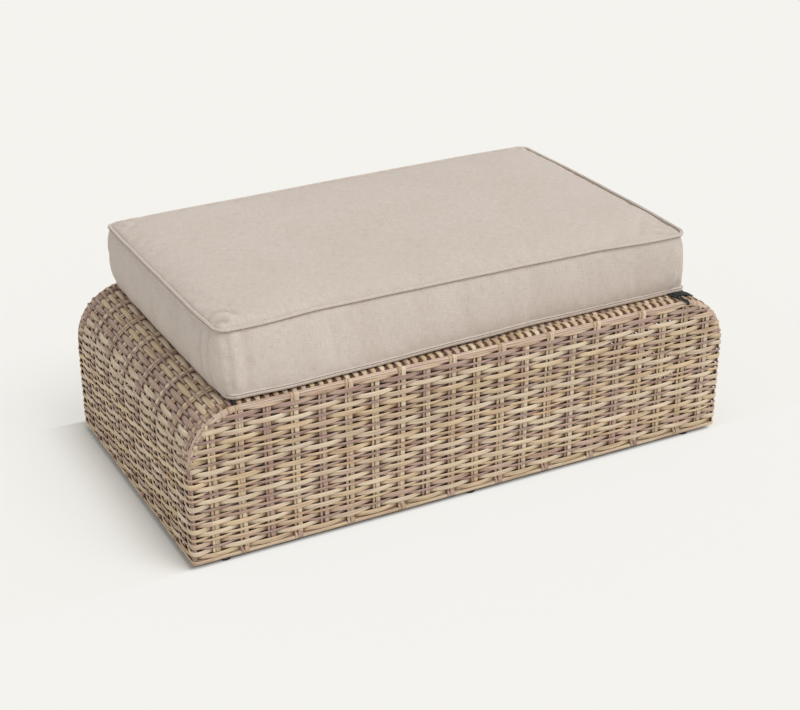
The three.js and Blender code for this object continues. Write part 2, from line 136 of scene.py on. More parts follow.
# Height of the cushion's seams and of its top
SEAM_TUCK = 2.5 * MM
BACK_SINK = 1.5 * MM
LEFT_TUCK = 4 * MM
LEFT_DROP = 1 * MM
LEFT_DROP_SHARE = 0.6
START_CROWN = 11 * MM
CROWN_REACH = 150 * MM
EDGE_ROLL = 5 * MM
EDGE_ROLL_REACH = 12 * MM
BACK_ROLL_SHARE = 1.5
UNDERSIDE_RUN = 3

# How far the boxing bulges, more at its ends: where its outward direction turns to them
WALL_BULGE = 3 * MM
LEFT_BULGE = 4.5 * MM
RIGHT_BULGE = 1.5 * MM
END_BULGE_RANGE = (0.3, 0.9)

# Cloth simulation, and how far it may move each panel
CLOTH_STEP = 7.5 * MM
CLOTH_PRESSURE = 4.0
CLOTH_GROWTH = 0.02
CLOTH_FRAMES = 20
TOP, UNDERSIDE, BOXING = range(3)
PANEL_CAPS = (9 * MM, 6 * MM, 7 * MM)

# Ripples along the top's seams. Their strength and their pitch change slowly along a seam
RIPPLE = 1.3 * MM
RIPPLE_PITCH = 11 * MM
RIPPLE_START = 6 * MM
RIPPLE_REACH = 34 * MM
RIPPLE_STRENGTH = 0.55
RIPPLE_CHANGE = 0.45
RIPPLE_CHANGE_TURNS = 9
RIPPLE_CHANGE_START = 2
RIPPLE_DRIFT = 0.8
RIPPLE_DRIFT_TURNS = 31
FAINT_RIPPLE_SHARE = 0.5

# Rings of folds at the top's corners: how far from the corner, how wide and what share of the pucker
PUCKER = 5 * MM
FRONT_LEFT_FOLDS = ((30 * MM, 6 * MM, -0.7), (43 * MM, 6 * MM, 1), (56 * MM, 8 * MM, -0.6))
FRONT_LEFT_ANGLES = ((0.35, 0.75), (-1.5, -1.2))
OTHER_PUCKER_SHARE = 0.3
OTHER_PUCKER = (42 * MM, 30 * MM)
OTHER_PUCKER_START = 8 * MM
OTHER_PUCKER_RAYS = 14

# How far a fold rises or falls where its painted highlight or painted shade is fullest
FOLD_SHADE_DEPTH = 2.5 * MM

# Upright creases of the boxing: how far from the corner, how wide and what share
CREASE = 1.8 * MM
CREASES = ((20 * MM, 5 * MM, -1), (31 * MM, 7 * MM, 0.7), (48 * MM, 8 * MM, -0.6), (66 * MM, 12 * MM, 0.3))
CREASE_START = 12 * MM
FAINT_CREASE_SHARE = 0.4
LONG_CREASE_SHARE = 0.25
LONG_CREASE_PITCH = 90 * MM
LONG_CREASE_DRIFT = 1.5
LONG_CREASE_DRIFT_TURNS = 13

# Piping. The seam's thread, a brown line of painted seam shade, turns round the cord: degrees above level on
# its outer side
TOP_PIPING = 6.8 * MM
LOW_PIPING = 9.2 * MM
LOW_PIPING_LIFT = 0.9 * MM
THREAD_WIDTH = 1.0 * MM
TOP_SHADE_LINE_TURN = -32
TOP_SHADE_LINE_RIGHT_TURN = 85
TOP_SHADE_LINE_LEFT_TURN = 20
LOW_SHADE_LINE_TURN = 38
INNER_SHADE_LINE_IN = 0.78
INNER_SHADE_LINE_UP = 0.62
INNER_SHADE_LINE_BACK_SHARE = 0.6
INNER_SHADE_LINE_BACK_RANGE = (0, 0.5)

# Zip
ZIP_LENGTH = 620 * MM
ZIP_FACE = 4 * MM
ZIP_TAPE = 26 * MM
ZIP_POINTS = 60
TAPE_THICKNESS = 1.2 * MM
TAPE_STITCH_SHARE = 0.36
TAPE_STITCH_OUT = 0.5 * MM
COIL_PITCH = 2.4 * MM
COIL_TURN_POINTS = 8
COIL_RADIUS = 1.5 * MM
COIL_WIRE = 0.9 * MM
COIL_SPREAD_SHARE = 0.7
COIL_DEPTH_SHARE = 0.55
PLACKET_END = 30 * MM
PLACKET_HALF_HEIGHT = 16 * MM
ZIP_HEIGHT = (LOW_SEAM + HIGH_SEAM) / 2

# Tie straps, whose routes are points in millimetres
TIE_WIDTH = 19 * MM
TIE_TAIL_WIDTH = 6 * MM
TIE_THICKNESS = 1.6 * MM
TIE_LIFT = 0.4 * MM
BAND_X = (428, 471)
BAND_Y = (-265, -260)
BAND_POINTS = 12
TAIL_ROUTE = ((422, -258, 285), (424, -268, 283.6), (427.5, -280, 283.4), (431, -291, 283.9),
              (433, -299, 284.1), (434, -303.4, 281.6), (434.4, -304.6, 277))
TAIL_OUTWARD = (UP, UP, UP, UP, (0, -0.3, 1), (0, -0.9, 0.5), (0, -1, 0))
STUB_ROUTE = ((-434, -262, 286), (-434.5, -272, 285), (-435, -282, 284), (-436, -290, 283.4),
              (-436.6, -295, 283.6))
BACK_TIE_ROUTE = ((419, 262, 287), (419, 267, 285.5), (419, 270.6, 280), (418.6, 271.2, 270),
                  (418.2, 270.9, 260), (417.6, 271.6, 250), (417, 273.4, 242))
BACK_TIE_OUTWARD = (UP, (0, 0.6, 1), *[(0, 1, 0)] * 5)

# Strands
WIDE_STRAND = 8.4 * MM
NARROW_STRAND = 4.4 * MM
WIDTH_SPREAD = 0.4 * MM
WEAVER_THICKNESS = 2.3 * MM
STAKE_THICKNESS = 2.3 * MM
FLAT_STRAND_RATIO = 1.5
FLATNESS = 0.6
PINCH_SHARES = (0.94, 0.06)
# How deep behind a stake a weaver starts and ends taking painted shade
SHADED_DEPTH_SHARES = (0.7, 1)
GRAIN_SPREAD = 50
WANDER = 0.35 * MM
WANDER_TURNS = (2, 12)
WANDER_SHARES = (0.3, 1)
CHANGE_SHARE = 0.7
WIDE_SHARE = 0.5

# Weave
WEAVE_SWING = (WEAVER_THICKNESS + STAKE_THICKNESS) / 2
WEAVE_INSET = WEAVE_SWING + WEAVER_THICKNESS / 2
WALL_ROW_GAP = 0.25 * MM
SHOULDER_ROW_GAP = 0.5 * MM
SHOULDER_WIDE = 9.4 * MM
SHOULDER_NARROW = 4.8 * MM
DECK_ROW_PITCH = 7.9 * MM
DECK_ROW_WIDTH = 7.2 * MM
DECK_BLOCK_GROWTH = 0.3
DECK_ROW_INSET = 5 * MM
UNDER_RIM_RANGE = (3 * MM, 12 * MM)
UNDER_RIM_SWING = 0.7
ROW_END_INSET = 5 * MM
FRONT_STAKES = 21
END_STAKES = 13
FRONT_PITCH = 48.2 * MM
END_PITCH = 39.6 * MM
STAKE_JITTER = 1.6 * MM
STAKE_GAP = 1.5 * MM
STAKE_FOOT = 2 * MM
STAKE_STATIONS = 12
DECK_STATIONS = 24
STEPS_PER_STAKE = 6
STATION_DIGITS = 5
RIM_STAKE_INSET = 22 * MM

# Rim along the front and back edges of the deck. Its two strands lean: degrees on the deck and on the arcs
RIM_FACE = 8.5 * MM
RIM_RADIUS = 3 * MM
FOOT_RADIUS = 8.5 * MM
RIM_INSET = 2.6 * MM
RIM_STRAND = 7.6 * MM
ARC_STRAND = 4 * MM
RIM_THICKNESS = 2.2 * MM
RIM_LEANS = ((12, 32), (78, 60))
RIM_ARC_STATIONS = 14
RIM_DECK_STATIONS = 40

# Loops that hold the rim: degrees from the face, run back over the deck and sink into it
LOOP_INSET = 0.9 * MM
ARC_LOOP_INSET = 3.4 * MM
ARC_LOOP_PITCH = 12 * MM
DECK_LOOP_REACH = 16 * MM
ARC_LOOP_REACH = 5 * MM
LOOP_THICKNESS = 1.9 * MM
LOOP_TURNS = np.radians([0, 0, 0, 22, 45, 68, 90, 90, 115])
LOOP_RUN = np.array([0, 0, 0, 0, 0, 0, 0, 5, 10]) * MM
LOOP_SINK = np.array([0, 0, 0, 0, 0, 0, 0, 0.8, 4]) * MM
LOOP_TUCK = np.array([1.6, 0, 0, 0, 0, 0, 0, 0, 0]) * MM

# Hem: how far its outer and inner bands stand out, their widths, thicknesses and tint shares
HEM_HEIGHT = 8.5 * MM
HEM_MIDDLE = 4.2 * MM
HEM_BANDS = ((WEAVE_SWING - 0.8 * MM, 6 * MM, 2.6 * MM, 1),
             (-WEAVE_SWING + 0.4 * MM, 6.8 * MM, 2.4 * MM, 0.8))
HEM_LOOP_THICKNESS = 1.8 * MM
HEM_LOOP_INWARD = np.array([3.2, 0.8, 0.6, 0.8, 3.6, 6.0, 6.2, 6.2, 4.0]) * MM
HEM_LOOP_HEIGHTS = BASE_BOTTOM + np.array([12, 10, 6, 2.2, 0.9, 2.2, 6, 9, 12]) * MM
HEM_LOOP_TURNS = np.radians([0, 0, 0, 30, 90, 150, 180, 180, 180])

# Camera, fitted to the photograph
CAMERA_PLACE = (-1.2403, -2.3589, 1.4182)
CAMERA_PITCH = math.radians(25.51)
CAMERA_YAW = math.radians(27.94)
CAMERA_LENS = 71.28


def linear(red, green, blue):
    """A colour given in screen values from 0 to 255, as the shaders take it."""
    values = (value / 255 for value in (red, green, blue))
    return tuple(v / 12.92 if v <= 0.04 else ((v + 0.055) / 1.055) ** 2.4 for v in values)


# Colours
CREAM = linear(219, 204, 180)
STRAW = linear(207, 188, 157)
GOLD = linear(206, 181, 149)
TAUPE = linear(190, 167, 151)
MAUVE = linear(172, 148, 138)
WIDE_TINTS = ((CREAM, 0.45), (STRAW, 0.35), (TAUPE, 0.15), (MAUVE, 0.05))
NARROW_TINTS = ((MAUVE, 0.3), (TAUPE, 0.25), (STRAW, 0.2), (GOLD, 0.15), (CREAM, 0.1))
TINT_GAINS = (0.98, 1.13)
DRIFT_SHARES = (0.3, 1)
RIM_TINT = linear(208, 187, 173)
RIM_TINT_SHARES = (0.3, 0.7)
# The brown towards which painted shade darkens strands, on their inner sides and behind the stakes
RECESS_SHADE_TINT = (0.35, 0.25, 0.17)
SHOULDER_DIMMING = 0.87
# Brown of the zip's stitches, and of the threads of painted seam shade along the pipings
STITCH_AND_SEAM_SHADE_BROWN = linear(138, 112, 92)
WEBBING_BLACK = linear(26, 27, 31)
FLOOR_COLOUR = linear(244, 243, 239)

# Light
WORLD_LIGHT = 0.56
FILL_COLOUR = (1, 0.985, 0.96)
SUN_STRENGTH = 1.63
SUN_TOWARDS = (0.5, -0.75, 1.5)
SUN_ANGLE = math.radians(36)

# Floor, which fades into the backdrop away from the ottoman, sooner at its front
FLOOR_REACH = 30.0
BACKDROP_NEAR = 0.12
BACKDROP_SHARE = 0.6
BACKDROP_REACH = 90 * MM
FRONT_SHARE = 0.85
FRONT_GAIN = 10


# Shapes

def smooth_step(value, low, high):
    share = np.clip((value - low) / (high - low), 0, 1)
    return share * share * (3 - 2 * share)


def bell(value, middle, width):
    return np.exp(-((value - middle) / width) ** 2)


def unit(vectors):
    return vectors / np.maximum(np.linalg.norm(vectors, axis=-1, keepdims=True), TINY)


def centred_places(count, pitch):
    return (np.arange(count) - (count - 1) / 2) * pitch


def upright(flat, y=0.0):
    """Points or directions in space from x and z, with their y."""
    return np.stack(np.broadcast_arrays(flat[..., 0], y, flat[..., 1]), -1)


def loop_normals(loop):
    """Level directions straight out of a closed loop of points."""
    ahead = np.roll(loop, -1, 0) - np.roll(loop, 1, 0)
    return unit(np.column_stack([ahead[:, 1], -ahead[:, 0], np.zeros(len(loop))]))


def facing(out, axis, side, low=0.5, high=0.9):
    """From 0 to 1, how far directions face one side: -1 or 1 along axis 0 or 1."""
    return smooth_step(side * out[:, axis], low, high)


# Meshes

def mesh_object(name, points, faces, smooth=True):
    """A mesh object from an array of points and an array of faces that all have as many corners."""
    points = np.asarray(points, np.float32)
    faces = np.asarray(faces, np.int32)
    mesh = bpy.data.meshes.new(name)
    mesh.vertices.add(len(points))
    mesh.vertices.foreach_set("co", points.ravel())
    mesh.loops.add(faces.size)
    mesh.loops.foreach_set("vertex_index", faces.ravel())
    mesh.polygons.add(len(faces))
    mesh.polygons.foreach_set("loop_start", np.arange(len(faces), dtype=np.int32) * faces.shape[1])
    mesh.update(calc_edges=True)
    mesh.polygons.foreach_set("use_smooth", np.full(len(faces), smooth))
    piece = bpy.data.objects.new(name, mesh)
    bpy.context.scene.collection.objects.link(piece)
    return piece


def set_vectors(mesh, name, values, kind="FLOAT_VECTOR", field="vector"):
    attribute = mesh.attributes.new(name, kind, "POINT")
    attribute.data.foreach_set(field, np.asarray(values, np.float32).ravel())


def vectors(mesh, name=None):
    """The mesh's points, or the vectors of one of its attributes."""
    values = np.empty(3 * len(mesh.vertices), np.float32)
    if name:
        mesh.attributes[name].data.foreach_get("vector", values)
    else:
        mesh.vertices.foreach_get("co", values)
    return values.reshape(-1, 3).astype(float)


def painted_shade_factor(share):
    """The factor by which a colour darkens with painted shade, where a strand lies deep in the weave."""
    return 1 - share * (1 - np.array(RECESS_SHADE_TINT))


class Strands:
    """Collects flat strands and makes one piece of them."""

    def __init__(self, name, sides=8, seed=1):
        self.name = name
        self.sides = sides
        self.random = np.random.default_rng(seed)
        self.points, self.faces, self.tints, self.grains = [], [], [], []
        self.count = 0

    def add(self, points, outward, width, thickness, tint, recess_shade=0, closed=False):
        """One strand along points, with painted shade: darker on its inner side, and along it by depth, from
        0 to 1.
        """
        points = np.asarray(points, float)
        rings = len(points)
        outward = np.broadcast_to(np.asarray(outward, float), points.shape)
        ahead = np.roll(points, -1, 0) - np.roll(points, 1, 0) if closed else np.gradient(points, axis=0)
        along = unit(ahead)
        side = unit(np.cross(outward, along))
        out = np.cross(along, side)
        angles = (np.arange(self.sides) + 0.5) * 2 * math.pi / self.sides
        flatness = FLATNESS if np.max(width) > FLAT_STRAND_RATIO * np.max(thickness) else 1
        across = self.section(np.cos(angles), flatness, width, rings)
        deep = self.section(np.sin(angles), flatness, thickness, rings)
        ring = points[:, None] + side[:, None] * across[..., None] + out[:, None] * deep[..., None]
        step = np.linalg.norm(np.diff(points, axis=0), axis=1)
        seed = self.random.uniform(0, GRAIN_SPREAD)
        grain = np.zeros((rings, self.sides, 3))
        grain[..., 0] = np.concatenate([[0], np.cumsum(step)])[:, None] + seed
        grain[..., 1] = across + deep
        grain[..., 2] = seed
        # Painted shade: the inner side and the parts behind a stake darken towards a brown
        shade = self.for_rings(recess_shade, rings) + np.where(angles > math.pi, 1, 0)
        tints = np.broadcast_to(np.asarray(tint, float), (rings, 3))[:, None]
        tints = tints * painted_shade_factor(np.clip(shade, 0, 1)[..., None])
        self.points.append(ring.reshape(-1, 3))
        self.grains.append(grain.reshape(-1, 3))
        self.tints.append(tints.reshape(-1, 3))
        self.faces.append(self.skin(rings, closed) + self.count)
        self.count += rings * self.sides

    def for_rings(self, value, rings):
        return np.broadcast_to(np.asarray(value, float), (rings,))[:, None]

    def section(self, wave, flatness, size, rings):
        """How far the corners of each ring lie from its middle, one way."""
        shape = np.sign(wave) * np.abs(wave) ** flatness
        return self.for_rings(size, rings) / 2 * shape / shape.max()

    def skin(self, rings, closed):
        """Quads between the rings, and caps on the ends of an open strand."""
        sides = self.sides
        here = np.arange(rings if closed else rings - 1)[:, None] * sides
        ahead = (here + sides) % (rings * sides)
        edge = np.arange(sides)[None]
        following = (edge + 1) % sides
        corners = [here + edge, here + following, ahead + following, ahead + edge]
        walls = np.stack(corners, -1).reshape(-1, 4)
        if closed:
            return walls
        cap = np.array([[k, k + 1, sides - 2 - k, sides - 1 - k] for k in range(sides // 2 - 1)])
        return np.concatenate([walls, cap[:, ::-1], cap + (rings - 1) * sides])

    def piece(self, material, body, slot, *nodes, grain="grain"):
        """Makes the piece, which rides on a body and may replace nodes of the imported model."""
        made = mesh_object(self.name, np.concatenate(self.points), np.concatenate(self.faces))
        tints = np.concatenate(self.tints)
        set_vectors(made.data, "tint", np.column_stack([tints, np.ones(len(tints))]), "FLOAT_COLOR", "color")
        set_vectors(made.data, grain, np.concatenate(self.grains))
        made.data.materials.append(material)
        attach(made, body)
        if nodes:
            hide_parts(*nodes)


# Materials

class Tree:
    """A short way to build a node tree."""

    def __init__(self, tree):
        self.tree = tree

    def add(self, kind, inputs=None, **settings):
        """A node with its settings, and with inputs by name or number: another's output or a value."""
        made = self.tree.nodes.new("ShaderNode" + kind)
        for name, value in settings.items():
            setattr(made, name, value)
        for name, value in (inputs or {}).items():
            self.feed(made.inputs[name], value)
        return made

    def feed(self, socket, value):
        if isinstance(value, bpy.types.NodeSocket):
            self.tree.links.new(value, socket)
        else:
            socket.default_value = value

    def maths(self, operation, *values):
        return self.add("Math", dict(enumerate(values)), operation=operation).outputs["Value"]

    def spread(self, value, low, high):
        """A value from 0 to 1 spread between low and high."""
        return self.add("MapRange", {"To Min": low, "To Max": high, "Value": value}).outputs["Result"]

    def surface(self, share, first, second):
        """Shows a mix of two shaders."""
        mixed = self.add("MixShader", {0: share, 1: first.outputs[0], 2: second.outputs[0]})
        output = next(node for node in self.tree.nodes if node.type.startswith("OUTPUT"))
        self.feed(output.inputs["Surface"], mixed.outputs[0])


class Nodes(Tree):
    """A material with its nodes."""

    def __init__(self, name, colour=WHITE, roughness=0.5, specular=0.5):
        self.material = bpy.data.materials.new(name)
        self.material.use_nodes = True
        super().__init__(self.material.node_tree)
        self.shader = self.tree.nodes["Principled BSDF"]
        self.set("Base Color", (*colour, 1))
        self.set("Roughness", roughness)
        self.set("Specular IOR Level", specular)

    def set(self, name, value):
        self.feed(self.shader.inputs[name], value)

    def attribute(self, name, output="Vector"):
        return self.add("Attribute", attribute_name=name).outputs[output]

    def place(self):
        return self.add("TexCoord").outputs["Object"]

    def axes(self, vector):
        return self.add("SeparateXYZ", {"Vector": vector}).outputs

    def noise(self, vector, stretch=None, scale=1.0, detail=3.0):
        """Noise over a vector, which a factor for each axis may stretch first."""
        if stretch:
            vector = self.add("Mapping", {"Scale": stretch, "Vector": vector}).outputs["Vector"]
        inputs = {"Scale": scale, "Detail": detail, "Roughness": 0.55, "Vector": vector}
        return self.add("TexNoise", inputs).outputs["Fac"]

    def ramp(self, value, *stops):
        made = self.add("ValToRGB", {"Fac": value})
        elements = made.color_ramp.elements
        while len(elements) < len(stops):
            elements.new(0.5)
        for element, (place, colour) in zip(elements, stops):
            element.position = place
            element.color = (*colour, 1)
        return made.outputs["Color"]

    def product(self, first, *others):
        """Colours multiplied by one another."""
        for other in others:
            made = self.add("Mix", data_type="RGBA", blend_type="MULTIPLY")
            sockets = [s for s in made.inputs if s.enabled and s.name in ("Factor", "A", "B")]
            for socket, value in zip(sockets, (1.0, first, other)):
                self.feed(socket, value)
            first = next(s for s in made.outputs if s.enabled)
        return first

    def bump(self, height, strength, distance):
        made = self.add("Bump", {"Strength": strength, "Distance": distance, "Height": height})
        self.set("Normal", made.outputs["Normal"])

    def paint(self, pattern, *colours, rough=None):
        """A colour, and if wanted a roughness, that follow a pattern between two values of each."""
        self.set("Base Color", self.ramp(pattern, *colours))
        if rough:
            self.set("Roughness", self.spread(pattern, *rough))


def wicker_material():
    """Extruded resin strand: each has its own tint, with streaks that run along it."""
    nodes = Nodes("wicker_strand", specular=0.4)
    grain = nodes.attribute("grain")
    streaks = nodes.noise(grain, stretch=(22, 1500, 1), detail=4)
    blotches = nodes.noise(grain, stretch=(14, 190, 1))
    hues = nodes.noise(grain, stretch=(30, 700, 1))
    shade = nodes.ramp(streaks, (0.3, (0.68, 0.64, 0.60)), (0.52, WHITE), (0.72, (1.2, 1.19, 1.17)))
    dull = nodes.ramp(blotches, (0.34, (0.74, 0.66, 0.64)), (0.55, WHITE))
    hue = nodes.ramp(hues, (0.35, (1.05, 0.98, 0.86)), (0.5, WHITE), (0.65, (1.02, 0.96, 1.0)))
    nodes.set("Base Color", nodes.product(nodes.attribute("tint", "Color"), shade, hue, dull))
    nodes.set("Roughness", nodes.spread(streaks, 0.42, 0.62))
    nodes.bump(streaks, strength=0.5, distance=0.25 * MM)
    return nodes.material


def fabric_material():
    """Fine plain-weave cloth with slubs, in metres of the cloth attribute, with painted shade and highlight
    on its folds.
    """
    nodes = Nodes("beige_fabric", specular=0.2)
    cloth = nodes.attribute("cloth")
    axes = nodes.axes(cloth)
    thread_pitch = 1.1 * MM
    warp, weft = (nodes.maths("SINE", nodes.maths("MULTIPLY", axes[name], 2 * math.pi / thread_pitch))
                  for name in ("X", "Y"))
    threads = nodes.maths("MULTIPLY", warp, weft)
    across, along = (nodes.noise(cloth, stretch=stretch) for stretch in ((60, 900, 1), (900, 60, 1)))
    slubs = nodes.maths("ADD", across, along)
    base = nodes.ramp(nodes.maths("MULTIPLY", slubs, 0.5), (0.32, linear(188, 174, 163)),
                      (0.5, linear(207, 195, 185)), (0.68, linear(218, 207, 198)))
    broad = nodes.ramp(nodes.noise(cloth, stretch=(9, 9, 1)), (0.3, (0.96, 0.955, 0.95)), (0.7, WHITE))
    # Painted shade and highlight: the fold attribute darkens valleys and lightens ridges
    fold = nodes.maths("MULTIPLY_ADD", nodes.attribute("fold", "Fac"), 0.5, 0.5)
    painted_fold_shade = nodes.ramp(fold, (0, (0.86, 0.84, 0.82)), (0.5, WHITE), (1, (1.05, 1.05, 1.05)))
    nodes.set("Base Color", nodes.product(base, broad, painted_fold_shade))
    nodes.set("Roughness", nodes.spread(slubs, 0.82, 0.95))
    height = nodes.maths("ADD", nodes.maths("MULTIPLY", threads, 0.4), slubs)
    nodes.bump(height, strength=0.35, distance=0.3 * MM)
    nodes.set("Sheen Weight", 0.15)
    nodes.set("Sheen Roughness", 0.6)
    return nodes.material


def thread_and_seam_shade_material():
    """Sewing thread in a line of small stitches; on the pipings, a brown line of painted seam shade."""
    nodes = Nodes("stitches_and_seam_shade", roughness=0.8)
    stitches = nodes.noise(nodes.attribute("grain"), stretch=(420, 0, 1), detail=1)
    nodes.paint(stitches, (0.35, linear(92, 72, 58)), (0.65, linear(134, 112, 94)))
    nodes.bump(stitches, strength=0.5, distance=0.3 * MM)
    return nodes.material


def webbing_material():
    nodes = Nodes("black_webbing", roughness=0.85)
    ribs = nodes.noise(nodes.attribute("grain"), stretch=(1400, 300, 1), detail=2)
    nodes.paint(ribs, (0.35, linear(14, 15, 18)), (0.65, linear(36, 38, 43)))
    nodes.bump(ribs, strength=0.6, distance=0.3 * MM)
    return nodes.material


def frame_material():
    """Powder-coated aluminium with an orange-peel surface."""
    nodes = Nodes("powder_coat")
    place = nodes.place()
    dust = nodes.noise(place, scale=14, detail=4)
    nodes.paint(dust, (0.35, linear(112, 96, 82)), (0.65, linear(132, 116, 101)), rough=(0.45, 0.62))
    nodes.bump(nodes.noise(place, scale=900, detail=2), strength=0.3, distance=0.15 * MM)
    return nodes.material


def glide_material():
    nodes = Nodes("glide_plastic")
    place = nodes.place()
    scuffs = nodes.noise(place, stretch=(90, 90, 900))
    nodes.paint(scuffs, (0.4, linear(18, 20, 24)), (0.75, linear(52, 54, 60)), rough=(0.35, 0.6))
    nodes.bump(nodes.noise(place, scale=1500), strength=0.3, distance=0.1 * MM)
    return nodes.material


def zip_material():
    nodes = Nodes("zip_plastic")
    haze = nodes.noise(nodes.place(), scale=300)
    nodes.paint(haze, (0.35, linear(156, 143, 131)), (0.65, linear(176, 164, 152)), rough=(0.35, 0.5))
    nodes.bump(haze, strength=0.2, distance=0.1 * MM)
    return nodes.material


# Weave

def swing(phase):
    """How far a weaver stands out, from -1 behind a stake to 1 in front, flat where it crosses one."""
    wave = np.cos(phase)
    return wave * (1.5 - 0.5 * wave * wave)


def taper(width, out):
    """A weaver's width, which is least between two stakes."""
    least, more = PINCH_SHARES
    return width * (least + more * np.abs(out))


def recess_shade(out):
    """From 0 to 1, how deep a weaver lies behind a stake, and so how much painted shade it takes."""
    return smooth_step(-out, *SHADED_DEPTH_SHARES)


def wander(random, length, reach=WANDER):
    """A slow random wave along a strand that closes on itself after length."""
    turns = random.integers(*WANDER_TURNS, 3)
    starts = random.uniform(0, 2 * math.pi, 3)
    shares = random.uniform(*WANDER_SHARES, 3)
    waves = tuple(zip(turns, starts, shares))
    return lambda at: reach * sum(s * np.sin(2 * math.pi * n * at / length + p) for n, p, s in waves)


def strand_width(random, last):
    """A wide or a narrow strand, seldom three alike in a row."""
    same = len(last) > 1 and last[-1] == last[-2]
    wide = (not last[-1]) if same and random.random() < CHANGE_SHARE else random.random() < WIDE_SHARE
    last.append(bool(wide))
    return (WIDE_STRAND if wide else NARROW_STRAND) + random.uniform(-WIDTH_SPREAD, WIDTH_SPREAD)


def row_places(random, start, end, gap):
    """The places and widths of the strands that fill a stretch of the wall."""
    rows, last = [], [False]
    width = strand_width(random, last)
    place = start + width / 2
    while place + width / 2 <= end:
        rows.append((place, width))
        following = strand_width(random, last)
        place += (width + following) / 2 + gap
        width = following
    spare = end - rows[-1][0] - rows[-1][1] / 2
    return [(place + spare * index / len(rows), width) for index, (place, width) in enumerate(rows, 1)]


def paired_places(start, end, widths, gap):
    """The places and widths of strands that fill a stretch, of two widths by turns."""
    whole = sum(widths) + len(widths) * gap
    pairs = round((end - start) / whole)
    scale = (end - start) / (pairs * whole)
    rows = []
    for index in range(pairs):
        place = start + index * whole * scale
        for width in widths:
            rows.append((place + (width + gap) / 2 * scale, width * scale))
            place += (width + gap) * scale
    return rows


def pick_tint(random, width):
    """A strand's colour: the wide ones are mostly pale, and many narrow ones are mauve."""
    choices = WIDE_TINTS if width > (WIDE_STRAND + NARROW_STRAND) / 2 else NARROW_TINTS
    colours, shares = zip(*choices)
    base = np.array(colours[random.choice(len(colours), p=np.array(shares) / sum(shares))])
    return base * random.uniform(*TINT_GAINS)


def row_tints(random, width, at, length):
    """The tint along a strand: one colour that drifts to another and back."""
    first, second = pick_tint(random, width), pick_tint(random, width)
    drift = wander(random, length, 1.0)(np.asarray(at))
    share = np.clip(0.5 * drift, 0, 1)[:, None] * random.uniform(*DRIFT_SHARES)
    return first * (1 - share) + second * share


def rounded_loop(half_x, half_y, radius, steps=4):
    """Points and outward normals round a rounded rectangle, from the left end of its front."""
    points, normals = [], []
    corners = ((1, -1, -90), (1, 1, 0), (-1, 1, 90), (-1, -1, 180))
    for side_x, side_y, degrees in corners:
        centre = np.array([side_x * (half_x - radius), side_y * (half_y - radius)])
        for step in range(steps + 1):
            angle = math.radians(degrees + 90 * step / steps)
            normal = np.array([math.cos(angle), math.sin(angle)])
            points.append(centre + radius * normal)
            normals.append(normal)
    points.insert(0, points.pop())
    normals.insert(0, normals.pop())
    return np.array(points), np.array(normals)


def between_stakes(places):
    """Stations from each place to just short of the next."""
    return [np.linspace(a, b, STEPS_PER_STAKE, endpoint=False) for a, b in zip(places[:-1], places[1:])]


class WallLoop:
    """The middle of the wall's weave seen from above, with a stake phase at each station."""

    def __init__(self, centre_y):
        half_x = HALF_LENGTH - WEAVE_INSET
        half_y = HALF_DEPTH - WEAVE_INSET
        radius = CORNER_RADIUS - WEAVE_INSET
        points, normals = rounded_loop(half_x, half_y, radius)
        closed = np.vstack([points, points[:1]])
        turned = np.vstack([normals, normals[:1]])
        marks = np.concatenate([[0], np.cumsum(np.linalg.norm(np.diff(closed, axis=0), axis=1))])
        self.length = marks[-1]
        ring = self.stake_ring(half_x - radius, half_y - radius, radius * math.pi / 4)
        corners = marks[:-1] + self.length * (marks[:-1] < ring[0])
        stations = np.concatenate([*between_stakes(ring), corners])
        self.at = np.unique(np.round(stations, STATION_DIGITS))
        self.phase = np.interp(self.at, ring, math.pi * np.arange(len(ring)))
        wrapped = np.mod(self.at, self.length)
        self.points, normals = (np.stack([np.interp(wrapped, marks, row) for row in rows.T], 1)
                                for rows in (closed, turned))
        self.normals = unit(normals)
        self.points[:, 1] += centre_y

    def stake_ring(self, straight_x, straight_y, corner):
        """Where the stakes lie along the loop, once round and back to the first."""
        front = straight_x + centred_places(FRONT_STAKES, FRONT_PITCH)
        right = 2 * straight_x + 2 * corner + straight_y + centred_places(END_STAKES, END_PITCH)
        half_loop = self.length / 2
        side = np.sort(np.concatenate([front, right, [2 * straight_x + corner, half_loop - corner]]))
        return np.concatenate([side, side + half_loop, [side[0] + self.length]])

    def strand(self, height, depth):
        places = self.points + self.normals * np.broadcast_to(depth, self.at.shape)[:, None]
        return np.column_stack([places, np.broadcast_to(height, self.at.shape)])

    def outward(self):
        return np.column_stack([self.normals, np.zeros(len(self.at))])


def profile(distance, depth=0.0):
    """Points and normals on the base's rounded top, seen from the front.

    The distance runs from the left foot of its arc over to the right.
    """
    distance = np.asarray(distance, float)
    flat = 2 * SHOULDER_START
    left = np.clip(distance / SHOULDER_RADIUS, 0, math.pi / 2)
    right = np.clip((distance - ARC_LENGTH - flat) / SHOULDER_RADIUS, 0, math.pi / 2)
    angle = math.pi - left - right
    normal = np.stack([np.cos(angle), np.sin(angle)], -1)
    centre_x = -SHOULDER_START + np.clip(distance - ARC_LENGTH, 0, flat)
    drop = np.clip(-distance, 0, None) + np.clip(distance - 2 * ARC_LENGTH - flat, 0, None)
    reach = SHOULDER_RADIUS - np.broadcast_to(depth, distance.shape)
    point = np.stack([centre_x, SHOULDER_HEIGHT - drop], -1) + normal * reach[..., None]
    return point, normal


